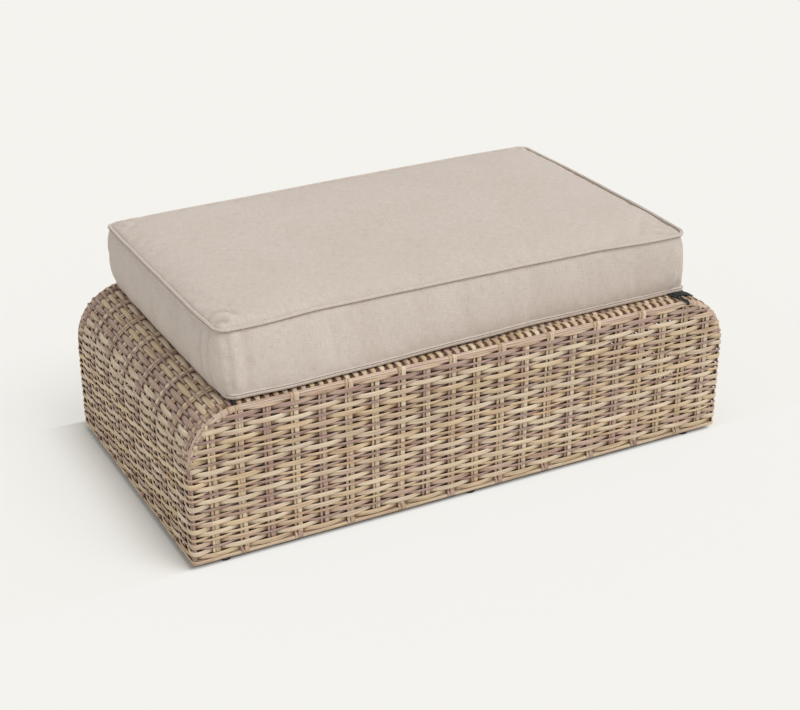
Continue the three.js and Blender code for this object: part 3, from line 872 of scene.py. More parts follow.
def profile_stations(arc_count, deck_count):
    """Distances along the base's rounded top, closer together on its arcs."""
    arc = np.linspace(0, ARC_LENGTH, arc_count)
    deck = np.linspace(ARC_LENGTH, PROFILE_LENGTH - ARC_LENGTH, deck_count)[1:-1]
    return np.concatenate([arc, deck, PROFILE_LENGTH - arc[::-1]])


def rounding(distance):
    """From 0 along the deck to 1 from half way down the rounded shoulders."""
    from_top = np.abs(np.asarray(distance, float) - PROFILE_LENGTH / 2) - SHOULDER_START
    return smooth_step(from_top, 0, ARC_LENGTH / 2)


def rim_radius(distance):
    """The rim is crisp along the deck and nearly as round as the wall's corners down the arcs."""
    return RIM_RADIUS + (FOOT_RADIUS - RIM_RADIUS) * rounding(distance)


def leaning(normal, face, turn):
    """Directions from straight out of the face, at turn 0, to the rim's own normal, at a quarter turn."""
    return upright(normal) * np.sin(turn)[:, None] + np.array([0, face, 0]) * np.cos(turn)[:, None]


def stake_group(place):
    """One narrow and one wide strand side by side, as (place, width)."""
    whole = NARROW_STRAND + STAKE_GAP + WIDE_STRAND
    narrow = place - whole / 2 + NARROW_STRAND / 2
    wide = place + whole / 2 - WIDE_STRAND / 2
    return (narrow, NARROW_STRAND), (wide, WIDE_STRAND)


def deck_rows():
    """Even wide rows, as (place, width), over the flat of the deck."""
    count = 2 * round(SHOULDER_START / DECK_ROW_PITCH) + 1
    places = PROFILE_LENGTH / 2 + centred_places(count, DECK_ROW_PITCH)
    return [(place, DECK_ROW_WIDTH) for place in places]


def deck_stakes():
    """Where the strands of the shoulders and deck pass a stake, with one more by each rim."""
    rim = HALF_DEPTH - RIM_STAKE_INSET
    return np.concatenate([[-rim], centred_places(END_STAKES, END_PITCH), [rim]])


class Base:
    """The woven base. centre_y is where the middle of its depth lies."""

    def __init__(self, centre_y, material):
        self.centre_y = centre_y
        self.material = material
        self.loop = WallLoop(centre_y)
        self.random = np.random.default_rng(seed=20)
        top = DECK_HEIGHT - RIM_FACE
        end = top - NARROW_STRAND - WALL_ROW_GAP
        self.rows = row_places(self.random, BASE_BOTTOM + HEM_HEIGHT, end, WALL_ROW_GAP)
        self.rows.append((top - NARROW_STRAND / 2, NARROW_STRAND))
        self.wall_rows = [row for row in self.rows if row[0] < SHOULDER_HEIGHT - NARROW_STRAND]
        self.upper_rows = self.rows[len(self.wall_rows):]

    def piece(self, strands, *nodes):
        strands.piece(self.material, "base", "wicker", *nodes)

    def row(self, index, width, at, length, phase):
        """How far a row stands out, how far it wanders, and its tints."""
        shift = wander(self.random, length)(at)
        return swing(phase + math.pi * index), shift, row_tints(self.random, width, at, length)

    def face_points(self, face, x, z, depth=0.0):
        y = self.centre_y + face * (HALF_DEPTH - WEAVE_INSET + depth)
        return np.stack(np.broadcast_arrays(x, y, z), -1)

    def add_wall_rows(self):
        strands = Strands("wall_weavers", seed=3)
        loop = self.loop
        for index, (height, width) in enumerate(self.wall_rows):
            out, shift, tints = self.row(index, width, loop.at, loop.length, loop.phase)
            points = loop.strand(height + shift, WEAVE_SWING * out)
            strands.add(points, loop.outward(), taper(width, out), WEAVER_THICKNESS, tints, recess_shade(out), True)
        self.piece(strands, "front_weave", "back_weave", "left_end_weave", "right_end_weave", "front_hem",
                   "back_hem", "left_hem", "right_hem")

    def add_upper_rows(self, label, face):
        """The rows of the front or back above the springing of the rounded shoulders."""
        strands = Strands(f"{label}_upper_weavers", seed=5 + face)
        places = centred_places(FRONT_STAKES, FRONT_PITCH)
        radius = SHOULDER_RADIUS - ROW_END_INSET
        for index, (height, width) in enumerate(self.upper_rows, len(self.wall_rows)):
            rise = max(height - SHOULDER_HEIGHT, 0)
            reach = SHOULDER_START + math.sqrt(max(radius * radius - rise * rise, 0))
            stations = np.linspace(-reach, reach, int(2 * reach / FRONT_PITCH * STEPS_PER_STAKE))
            phase = np.interp(stations, places, math.pi * np.arange(FRONT_STAKES))
            phase += np.clip(stations - places[-1], 0, None) / FRONT_PITCH * math.pi
            phase += np.clip(stations - places[0], None, 0) / FRONT_PITCH * math.pi
            out, shift, tints = self.row(index, width, stations, BASE_LENGTH, phase)
            if index == len(self.rows) - 1:
                tints = 0.5 * tints + 0.5 * np.array(GOLD)
            points = self.face_points(face, stations, height + shift, WEAVE_SWING * out)
            strands.add(points, (0, face, 0), taper(width, out), WEAVER_THICKNESS, tints, recess_shade(out))
        self.piece(strands, f"{label}_weave")

    def add_face_stakes(self, label, face):
        strands = Strands(f"{label}_stakes", seed=9 + face)
        radius = SHOULDER_RADIUS - BINDING_WIDTH / 2
        for x in centred_places(FRONT_STAKES, FRONT_PITCH):
            spare = max(abs(x) - SHOULDER_START, 0)
            top = SHOULDER_HEIGHT + math.sqrt(radius * radius - spare * spare)
            heights = np.linspace(BASE_BOTTOM + STAKE_FOOT, top, STAKE_STATIONS)
            for place, width in stake_group(x):
                place = place + wander(self.random, BASE_LENGTH, STAKE_JITTER / 2)(heights)
                tints = row_tints(self.random, width, heights, BASE_LENGTH)
                points = self.face_points(face, place, heights)
                strands.add(points, (0, face, 0), width, STAKE_THICKNESS, tints)
        self.piece(strands)

    def add_cross_stakes(self):
        """The stakes of the ends, which carry on over the shoulders and along the deck.

        The ones by the rims end at the feet of the shoulders, and on the deck carry painted shade, as dark as
        a weaver deep behind a stake.
        """
        strands = Strands("cross_stakes", seed=12)
        wall = SHOULDER_HEIGHT - BASE_BOTTOM - STAKE_FOOT
        over = profile_stations(STAKE_STATIONS, DECK_STATIONS)
        ends = PROFILE_LENGTH + wall / 2, PROFILE_LENGTH + wall
        stations = np.concatenate([[-wall, -wall / 2], over, ends])
        place, normal = profile(stations, WEAVE_INSET)
        above = (stations >= 0) & (stations <= PROFILE_LENGTH)
        for index, y in enumerate(deck_stakes()):
            at_rim = index in (0, END_STAKES + 1)
            shown = above if at_rim else np.full(len(stations), True)
            for offset, width in stake_group(y):
                tints = row_tints(self.random, width, stations, PROFILE_LENGTH)
                # Painted shade on the stakes by the rims, which lie in shade between the deck's blocks
                if at_rim:
                    tints = tints * painted_shade_factor((1 - rounding(stations))[:, None])
                points = upright(place, self.centre_y + offset)
                strands.add(points[shown], upright(normal)[shown], width, STAKE_THICKNESS, tints[shown])
        self.piece(strands, "deck_weave")

    def add_corner_stakes(self):
        strands = Strands("corner_stakes", seed=14)
        inset = CORNER_RADIUS + (WEAVE_INSET - CORNER_RADIUS) / math.sqrt(2)
        heights = np.linspace(BASE_BOTTOM + STAKE_FOOT, SHOULDER_HEIGHT, STAKE_STATIONS)
        for side_x in (-1, 1):
            for side_y in (-1, 1):
                outward = np.array([side_x, side_y, 0]) / math.sqrt(2)
                x = side_x * (HALF_LENGTH - inset)
                y = self.centre_y + side_y * (HALF_DEPTH - inset)
                points = np.stack(np.broadcast_arrays(x, y, heights), -1)
                tints = row_tints(self.random, NARROW_STRAND, heights, BASE_LENGTH)
                strands.add(points, outward, WIDE_STRAND, STAKE_THICKNESS, tints)
        self.piece(strands)

    def top_rows(self):
        """The rows over the shoulders and the deck, as (distance, width)."""
        start = self.wall_rows[-1][0] + self.wall_rows[-1][1] / 2 + WALL_ROW_GAP - SHOULDER_HEIGHT
        deck = deck_rows()
        end = deck[0][0] - DECK_ROW_PITCH / 2
        shoulder = paired_places(start, end, (SHOULDER_NARROW, SHOULDER_WIDE), SHOULDER_ROW_GAP)
        return shoulder + deck + [(PROFILE_LENGTH - place, width) for place, width in reversed(shoulder)]

    def add_top_rows(self):
        """The strands that run from front to back over the shoulders and the deck."""
        strands = Strands("deck_weavers", sides=6, seed=16)
        places = deck_stakes()
        ends = np.linspace(places[-1], HALF_DEPTH - DECK_ROW_INSET, STEPS_PER_STAKE)
        stations = np.concatenate([-ends[:0:-1], *between_stakes(places), ends])
        phase = np.interp(stations, places, math.pi * (np.arange(len(places)) - 1))
        under = smooth_step(np.abs(stations), *(places[-1] + reach for reach in UNDER_RIM_RANGE))
        for index, (distance, width) in enumerate(self.top_rows(), len(self.wall_rows)):
            out, shift, tints = self.row(index, width, stations, BASE_DEPTH, phase)
            out = out * (1 - under) - UNDER_RIM_SWING * under
            place, normal = profile(distance + shift, WEAVE_INSET - WEAVE_SWING * out)
            points = upright(place, self.centre_y + stations)
            if abs(distance - PROFILE_LENGTH / 2) < SHOULDER_START:
                widths = width * (1 + DECK_BLOCK_GROWTH * np.clip(out, 0, 1))
            else:
                widths = taper(width, out)
                tints = tints * SHOULDER_DIMMING
            strands.add(points, upright(normal), widths, WEAVER_THICKNESS, tints, recess_shade(out))
        self.piece(strands, "deck_weave", "left_end_weave", "right_end_weave")

    def edge(self, face, distance, deep, back):
        """Points at the edge of the front or back: deep below the rounded top, back from the face."""
        place, normal = profile(distance, deep)
        return upright(place, self.centre_y + face * (HALF_DEPTH - back)), normal

    def add_binding(self, label, face):
        """Flat strands along the rounded rim, and the loops that hold them."""
        strands = Strands(f"{label}_binding_strands", seed=30 + face)
        stations = profile_stations(RIM_ARC_STATIONS, RIM_DECK_STATIONS)
        rounded = rounding(stations)
        radius = rim_radius(stations)
        width = RIM_STRAND + (ARC_STRAND - RIM_STRAND) * rounded
        own_share, rim_share = RIM_TINT_SHARES
        for deck_lean, arc_lean in RIM_LEANS:
            tints = row_tints(self.random, WIDE_STRAND, stations, PROFILE_LENGTH)
            tints = tints * own_share + np.array(RIM_TINT) * rim_share
            lean = np.radians(deck_lean + (arc_lean - deck_lean) * rounded)
            deep = RIM_INSET + radius * (1 - np.sin(lean))
            back = RIM_INSET + radius * (1 - np.cos(lean))
            points, normal = self.edge(face, stations, deep, back)
            strands.add(points, leaning(normal, face, lean), width, RIM_THICKNESS, tints)
        self.add_loops(strands, face)
        self.piece(strands, f"{label}_binding")

    def add_loops(self, strands, face):
        """Loops at every second stake of the deck, and closer together down the arcs."""
        for x in centred_places(FRONT_STAKES, FRONT_PITCH)[1::2]:
            if abs(x) < SHOULDER_START:
                for (offset, width), tint in zip(stake_group(x), (GOLD, CREAM)):
                    self.add_loop(strands, face, PROFILE_LENGTH / 2 + offset, width, DECK_LOOP_REACH, tint)
        count = round(ARC_LENGTH / ARC_LOOP_PITCH)
        for step in range(count):
            distance = (step + 0.5) / count * ARC_LENGTH
            for place in (distance, PROFILE_LENGTH - distance):
                width = NARROW_STRAND + (WIDE_STRAND - NARROW_STRAND) * self.random.random()
                tint = pick_tint(self.random, width) * SHOULDER_DIMMING
                self.add_loop(strands, face, place, width, ARC_LOOP_REACH, tint)

    def add_loop(self, strands, face, distance, width, reach, tint):
        """A strand that comes up the face, round the rim and back down into the deck's weave."""
        radius = float(rim_radius(distance))
        inset = LOOP_INSET + (ARC_LOOP_INSET - LOOP_INSET) * float(rounding(distance))
        turn = np.minimum(LOOP_TURNS, math.pi / 2)
        below = np.zeros(len(turn))
        below[:2] = reach, reach / 2
        deep = inset + radius * (1 - np.sin(turn)) + below + LOOP_SINK
        back = inset + radius * (1 - np.cos(turn)) + LOOP_RUN + LOOP_TUCK
        points, normal = self.edge(face, np.full(len(deep), distance), deep, back)
        strands.add(points, leaning(normal, face, LOOP_TURNS), width, LOOP_THICKNESS, tint)

    def add_hem(self):
        """The band round the bottom edge, with loops at every second stake."""
        strands = Strands("hem_strands", seed=40)
        loop = self.loop
        tints = 0.5 * row_tints(self.random, NARROW_STRAND, loop.at, loop.length) + 0.5 * np.array(STRAW)
        for depth, width, thickness, share in HEM_BANDS:
            points = loop.strand(BASE_BOTTOM + HEM_MIDDLE, depth)
            strands.add(points, loop.outward(), width, thickness, tints * share, closed=True)
        edges = ((FRONT_STAKES, FRONT_PITCH, HALF_DEPTH, 1), (END_STAKES, END_PITCH, HALF_LENGTH, -1))
        for stakes, pitch, reach, order in edges:
            for side in (-1, 1):
                for middle in centred_places(stakes, pitch)[1::2]:
                    for offset, width in stake_group(middle):
                        place = np.array([offset, side * reach][::order])
                        self.add_hem_loop(strands, place, np.array([0, side][::order]), width)
        self.piece(strands)

    def add_hem_loop(self, strands, place, normal, width):
        """A strand that comes down the outside of the hem, under it and up its inside."""
        flat = place + np.array([0, self.centre_y]) - HEM_LOOP_INWARD[:, None] * normal
        points = np.column_stack([flat, HEM_LOOP_HEIGHTS])
        outward = np.column_stack([np.cos(HEM_LOOP_TURNS)[:, None] * normal, -np.sin(HEM_LOOP_TURNS)])
        tint = 0.5 * (np.array(MAUVE) + pick_tint(self.random, NARROW_STRAND))
        strands.add(points, outward, width, HEM_LOOP_THICKNESS, tint)

    def build(self):
        self.add_wall_rows()
        for label, face in (("front", -1), ("back", 1)):
            self.add_upper_rows(label, face)
            self.add_face_stakes(label, face)
            self.add_binding(label, face)
        self.add_cross_stakes()
        self.add_corner_stakes()
        self.add_top_rows()
        self.add_hem()


# Cushion

def panel_grid(half_x, half_y, radius, step):
    """A grid of points over a rectangle with rounded corners."""
    columns, rows = round(2 * half_x / step), round(2 * half_y / step)
    across, up = np.linspace(-half_x, half_x, columns + 1), np.linspace(-half_y, half_y, rows + 1)
    x, y = np.meshgrid(across, up, indexing="ij")
    u = np.clip((np.abs(x) - half_x + radius) / radius, 0, 1)
    v = np.clip((np.abs(y) - half_y + radius) / radius, 0, 1)
    x = np.sign(x) * (np.minimum(np.abs(x), half_x - radius) + radius * u * np.sqrt(1 - v * v / 2))
    y = np.sign(y) * (np.minimum(np.abs(y), half_y - radius) + radius * v * np.sqrt(1 - u * u / 2))
    return np.stack([x, y], -1)


def grid_faces(columns, rows, closed=False):
    """Quads over a grid of columns by rows of points, round and round where it is closed."""
    index = np.arange(columns * rows).reshape(columns, rows)
    ahead = np.roll(index, -1, 0) if closed else index[1:]
    index = index if closed else index[:-1]
    return np.stack([index[:, :-1], ahead[:, :-1], ahead[:, 1:], index[:, 1:]], -1).reshape(-1, 4)


def grid_border(columns, rows):
    """Indexes of a grid's border points, from the front left corner to the right and round."""
    index = np.arange(columns * rows).reshape(columns, rows)
    return np.concatenate([index[:-1, 0], index[-1, :-1], index[:0:-1, -1], index[0, :0:-1]])


def seam_wave(along, across, slow, start, fast, cross):
    """A fine uneven wave along a seam, which slants a little across it."""
    return np.sin(along * slow + start) + FAST_WAVE_SHARE * np.sin(along * fast + across * cross)


def droop(x):
    """How far the cushion's underside hangs lower, where it lies over the rounded shoulders."""
    over = np.clip(np.abs(x) - SHOULDER_START, 0, SHOULDER_RADIUS)
    return SHOULDER_RADIUS - np.sqrt(SHOULDER_RADIUS ** 2 - over * over)


def over_shoulder(x):
    """The distance along the base's top from its middle to x."""
    over = np.clip(x - SHOULDER_START, 0, SHOULDER_RADIUS)
    return np.minimum(x, SHOULDER_START) + SHOULDER_RADIUS * np.arcsin(over / SHOULDER_RADIUS)


def freedom(along, half):
    """From 0 at a corner to 1 where the side is free to bow out."""
    return smooth_step(half - SEWN_CORNER - np.abs(along), 0, DRAWN_IN_REACH)


def outline(flat):
    """Bows a flat grid's sides out between its corners and lets its seams wander."""
    x, y = flat[:, 0], flat[:, 1]
    wave_x = seam_wave(x, y, **SEAM_WAVE_X)
    wave_y = seam_wave(y, x, **SEAM_WAVE_Y)
    bow_x = SIDE_BOW * freedom(y, CUSHION_Y) + SEAM_WANDER * wave_y
    bow_y = SIDE_BOW * freedom(x, CUSHION_X) + SEAM_WANDER * wave_x
    return np.stack([x + bow_x * (x / CUSHION_X) ** 3, y + bow_y * (y / CUSHION_Y) ** 3], -1)


def top_outline(flat):
    """The top's outline. Its front corners stand out, and the rest of its sides are drawn in."""
    x, y = flat[:, 0], flat[:, 1]
    middle = smooth_step(CUSHION_X - np.abs(x), *FRONT_DRAW_RANGE)
    front = CORNER_PUSH * (1 - middle) - FRONT_DRAW * middle
    to_left = smooth_step(-x, 0, BACK_DRAW_SHARE * CUSHION_X)
    back = BACK_TILT * x / CUSHION_X - BACK_DRAW * to_left
    to_back = smooth_step(y, *(share * CUSHION_Y for share in LEFT_BACK_SHARES))
    left = -LEFT_DRAW - LEFT_BACK_DRAW * to_back
    to_front = smooth_step(-y, RIGHT_FRONT_SHARE * CUSHION_Y, CUSHION_Y)
    right = -RIGHT_DRAW - RIGHT_FRONT_DRAW * to_front
    out_x = np.where(x < 0, left, right) * (x / CUSHION_X) ** 3
    out_y = np.where(y < 0, front, back) * (y / CUSHION_Y) ** 3
    return outline(flat) + np.stack([out_x, out_y], -1)


def low_outline(flat):
    """The underside's outline, which lies to the right and the front, most at its left end."""
    shaped = outline(flat)
    share = smooth_step(-shaped[:, 0], CUSHION_X - ASKEW_REACH, CUSHION_X)
    return shaped + (share[:, None] * np.array([ASKEW_X, -ASKEW_Y]) + np.array([UNDERSIDE_SHIFT, 0]))


def seam_heights(high_border, low_border):
    """Heights of the two seams along their borders. The lower one follows the shoulders."""
    x, y = high_border[:, 0], high_border[:, 1]
    first, second, across = LOW_SEAM_TURNS
    wave = LOW_SEAM_WAVE * (1 + np.sin(x * first + LOW_SEAM_START) * np.cos(x * second + y * across))
    low = LOW_SEAM - droop(low_border[:, 0]) + wave
    along, across = HIGH_SEAM_TURNS
    high = HIGH_SEAM + SEAM_WANDER * np.sin(x * along + y * across)
    high -= LEFT_DROP * smooth_step(-x, LEFT_DROP_SHARE * CUSHION_X, CUSHION_X)
    return low, high


def crown(flat, inward):
    """How high the top rises from its seams: steeply at the left and back ones, then gently."""
    share = np.minimum(inward / CROWN_REACH, 1)
    from_left = 1 - smooth_step(CUSHION_X + flat[:, 0], 0, CUSHION_X)
    from_back = 1 - smooth_step(CUSHION_Y - flat[:, 1], 0, BACK_ROLL_SHARE * CUSHION_Y)
    roll = EDGE_ROLL * np.maximum(from_left, from_back) * (1 - np.exp(-inward / EDGE_ROLL_REACH))
    return START_CROWN * share * (2 - share) + roll


def bulge(out, share):
    """How far the boxing stands out between its seams, most at the left end."""
    end_bulge = np.where(out[:, 0] < 0, LEFT_BULGE, RIGHT_BULGE)
    reach = WALL_BULGE + end_bulge * smooth_step(np.abs(out[:, 0]), *END_BULGE_RANGE)
    return out * (reach * (1 - np.abs(2 * share - 1) ** 3))[:, None]


def boxing(start, end, high):
    """The boxing between the lower and the upper seam: points, cloth coordinates and directions out."""
    levels = round((HIGH_SEAM - LOW_SEAM) / CLOTH_STEP)
    shares = np.linspace(0, 1, levels + 1)
    wall = start[:, None] * (1 - shares[:, None]) + end[:, None] * shares[:, None]
    heights = wall[..., 2]
    steps = np.linalg.norm((np.roll(end, -1, 0) - end)[:, :2], axis=1)
    along = np.concatenate([[0], np.cumsum(steps)[:-1]])
    cloth = np.stack(np.broadcast_arrays(along[:, None], heights, 0), -1)
    cloth[..., 2] = np.minimum(heights - start[:, 2:], high[:, None] - heights)
    out = np.repeat(loop_normals(start), levels + 1, axis=0)
    wall = wall + bulge(out, np.tile(shares, len(start))).reshape(wall.shape)
    return wall, cloth, out


def swell(piece, pinned):
    """Blows the cover up a little with its seams held, and gives back its points."""
    group = piece.vertex_groups.new(name="seam")
    group.add(np.flatnonzero(pinned).tolist(), 1, "REPLACE")
    cloth = piece.modifiers.new("cloth", "CLOTH")
    cloth.settings.vertex_group_mass = group.name
    cloth.settings.use_pressure = True
    cloth.settings.uniform_pressure_force = CLOTH_PRESSURE
    cloth.settings.shrink_min = -CLOTH_GROWTH
    cloth.settings.effector_weights.gravity = 0
    cloth.collision_settings.use_collision = False
    cloth.point_cache.frame_end = CLOTH_FRAMES
    for frame in range(1, CLOTH_FRAMES + 1):
        bpy.context.scene.frame_set(frame)
    swollen = piece.evaluated_get(bpy.context.evaluated_depsgraph_get())
    points = vectors(swollen.data)
    piece.modifiers.remove(cloth)
    piece.vertex_groups.remove(group)
    bpy.context.scene.frame_set(1)
    return points


def held(start, swollen, panel):
    """Keeps the swelling within each panel's cap, and the underside no lower than where it rests."""
    cap = np.array(PANEL_CAPS)[panel][:, None]
    move = swollen - start
    far = np.linalg.norm(move, axis=1, keepdims=True)
    points = start + move * cap / (cap + far)
    points[:, 2] = np.maximum(points[:, 2], CUSHION_BOTTOM - droop(points[:, 0]))
    return points


def refined(piece):
    """Subdivides the mesh once, so that the finer folds have enough points."""
    finer = piece.modifiers.new("finer", "SUBSURF")
    finer.levels = finer.render_levels = 1
    depsgraph = bpy.context.evaluated_depsgraph_get()
    fine = piece.evaluated_get(depsgraph)
    rough = piece.data
    piece.data = bpy.data.meshes.new_from_object(fine, preserve_all_data_layers=True, depsgraph=depsgraph)
    piece.modifiers.remove(finer)
    bpy.data.meshes.remove(rough)


def ripples(x, y, inward):
    """Small waves across the top's seams, strongest at its left end."""
    at_end = CUSHION_X - np.abs(x) < CUSHION_Y - np.abs(y)
    along = np.where(at_end, y, x)
    change = np.sin(along * RIPPLE_CHANGE_TURNS + np.sign(x) * RIPPLE_CHANGE_START)
    strength = RIPPLE_STRENGTH + RIPPLE_CHANGE * change
    drift = RIPPLE_DRIFT * np.sin(along * RIPPLE_DRIFT_TURNS)
    wave = np.sin(2 * math.pi * (along / RIPPLE_PITCH + drift))
    edge = np.minimum(inward / RIPPLE_START, 1) * np.exp(-inward / RIPPLE_REACH)
    return RIPPLE * strength * wave * edge * np.where(at_end & (x < 0), 1, FAINT_RIPPLE_SHARE)


def pucker(from_x, from_y, inward, clear):
    """Folds round a corner of the top: clear rings at the front left one, faint rays at the others."""
    radius, angle = np.hypot(from_x, from_y), np.arctan2(from_y, from_x)
    if clear:
        fold = sum(share * bell(radius, place, width) for place, width, share in FRONT_LEFT_FOLDS)
        rising, falling = FRONT_LEFT_ANGLES
        return PUCKER * (smooth_step(angle, *rising) * smooth_step(-angle, *falling)) * fold
    window = bell(radius, *OTHER_PUCKER) * np.clip(inward / OTHER_PUCKER_START, 0, 1)
    return OTHER_PUCKER_SHARE * PUCKER * window * np.sin(OTHER_PUCKER_RAYS * angle)


def wall_creases(points, cloth):
    """Soft upright creases of the boxing, strongest beside the front left corner."""
    x, y = np.abs(points[:, 0]), np.abs(points[:, 1])
    from_corner = np.maximum(CUSHION_X - x, CUSHION_Y - y)
    front_left = (points[:, 0] < 0) & (points[:, 1] < 0)
    weight = CREASE * np.where(front_left, 1, FAINT_CREASE_SHARE)
    weight = weight * np.clip(cloth[:, 2] / CREASE_START, 0, 1)
    wave = sum(share * bell(from_corner, place, width) for place, width, share in CREASES)
    turns = 2 * math.pi * cloth[:, 0] / LONG_CREASE_PITCH
    drift = LONG_CREASE_DRIFT * np.sin(cloth[:, 0] * LONG_CREASE_DRIFT_TURNS)
    wave += LONG_CREASE_SHARE * np.sin(turns + drift)
    return weight * wave


def folded(points, cloth, panel, out):
    """Points with the ripples, the puckers and the creases, and how far each one stands out."""
    x, y, inward = cloth[:, 0], cloth[:, 1], np.maximum(cloth[:, 2], 0)
    rise = ripples(x, y, inward)
    for side_x, side_y in ((-1, -1), (1, -1), (1, 1), (-1, 1)):
        clear = (side_x, side_y) == (-1, -1)
        rise = rise + pucker(CUSHION_X - side_x * x, CUSHION_Y - side_y * y, inward, clear)
    wall = panel == BOXING
    rise = np.where(panel == TOP, rise, 0)
    rise[wall] = wall_creases(points[wall], cloth[wall])
    return points + rise[:, None] * np.where(wall[:, None], out, UP), rise


def placket(points, panel):
    """Brings the boxing at the back flat against the zip."""
    on_back = (panel == BOXING) & (points[:, 1] > CUSHION_Y / 2)
    beside = smooth_step(ZIP_LENGTH / 2 + PLACKET_END - np.abs(points[:, 0]), 0, PLACKET_END)
    near = np.exp(-((points[:, 2] - ZIP_HEIGHT) / PLACKET_HALF_HEIGHT) ** 4) * beside * on_back
    points[:, 1] += near * (CUSHION_Y + ZIP_FACE - points[:, 1])
    return points


def move_points(piece, points):
    piece.data.vertices.foreach_set("co", points.astype(np.float32).ravel())


def seam_shade_line_offsets(side, out, radius):
    """Threads of painted seam shade on a cord: the top one has one on its outer side and one on its inner."""
    turn = np.full(len(out), np.radians(LOW_SHADE_LINE_TURN))
    if side == "top":
        # Painted seam shade: on the top cord the thread rides higher at its right and left ends
        to_right = np.radians(TOP_SHADE_LINE_RIGHT_TURN) * facing(out, 0, 1)
        to_left = np.radians(TOP_SHADE_LINE_LEFT_TURN) * facing(out, 0, -1)
        turn = np.radians(TOP_SHADE_LINE_TURN) + to_right + to_left
    yield radius * (out * np.cos(turn)[:, None] + np.array(UP) * np.sin(turn)[:, None])
    if side == "top":
        shown = 1 - INNER_SHADE_LINE_BACK_SHARE * facing(out, 1, 1, *INNER_SHADE_LINE_BACK_RANGE)[:, None]
        yield radius * shown * (np.array([0, 0, INNER_SHADE_LINE_UP]) - INNER_SHADE_LINE_IN * out)


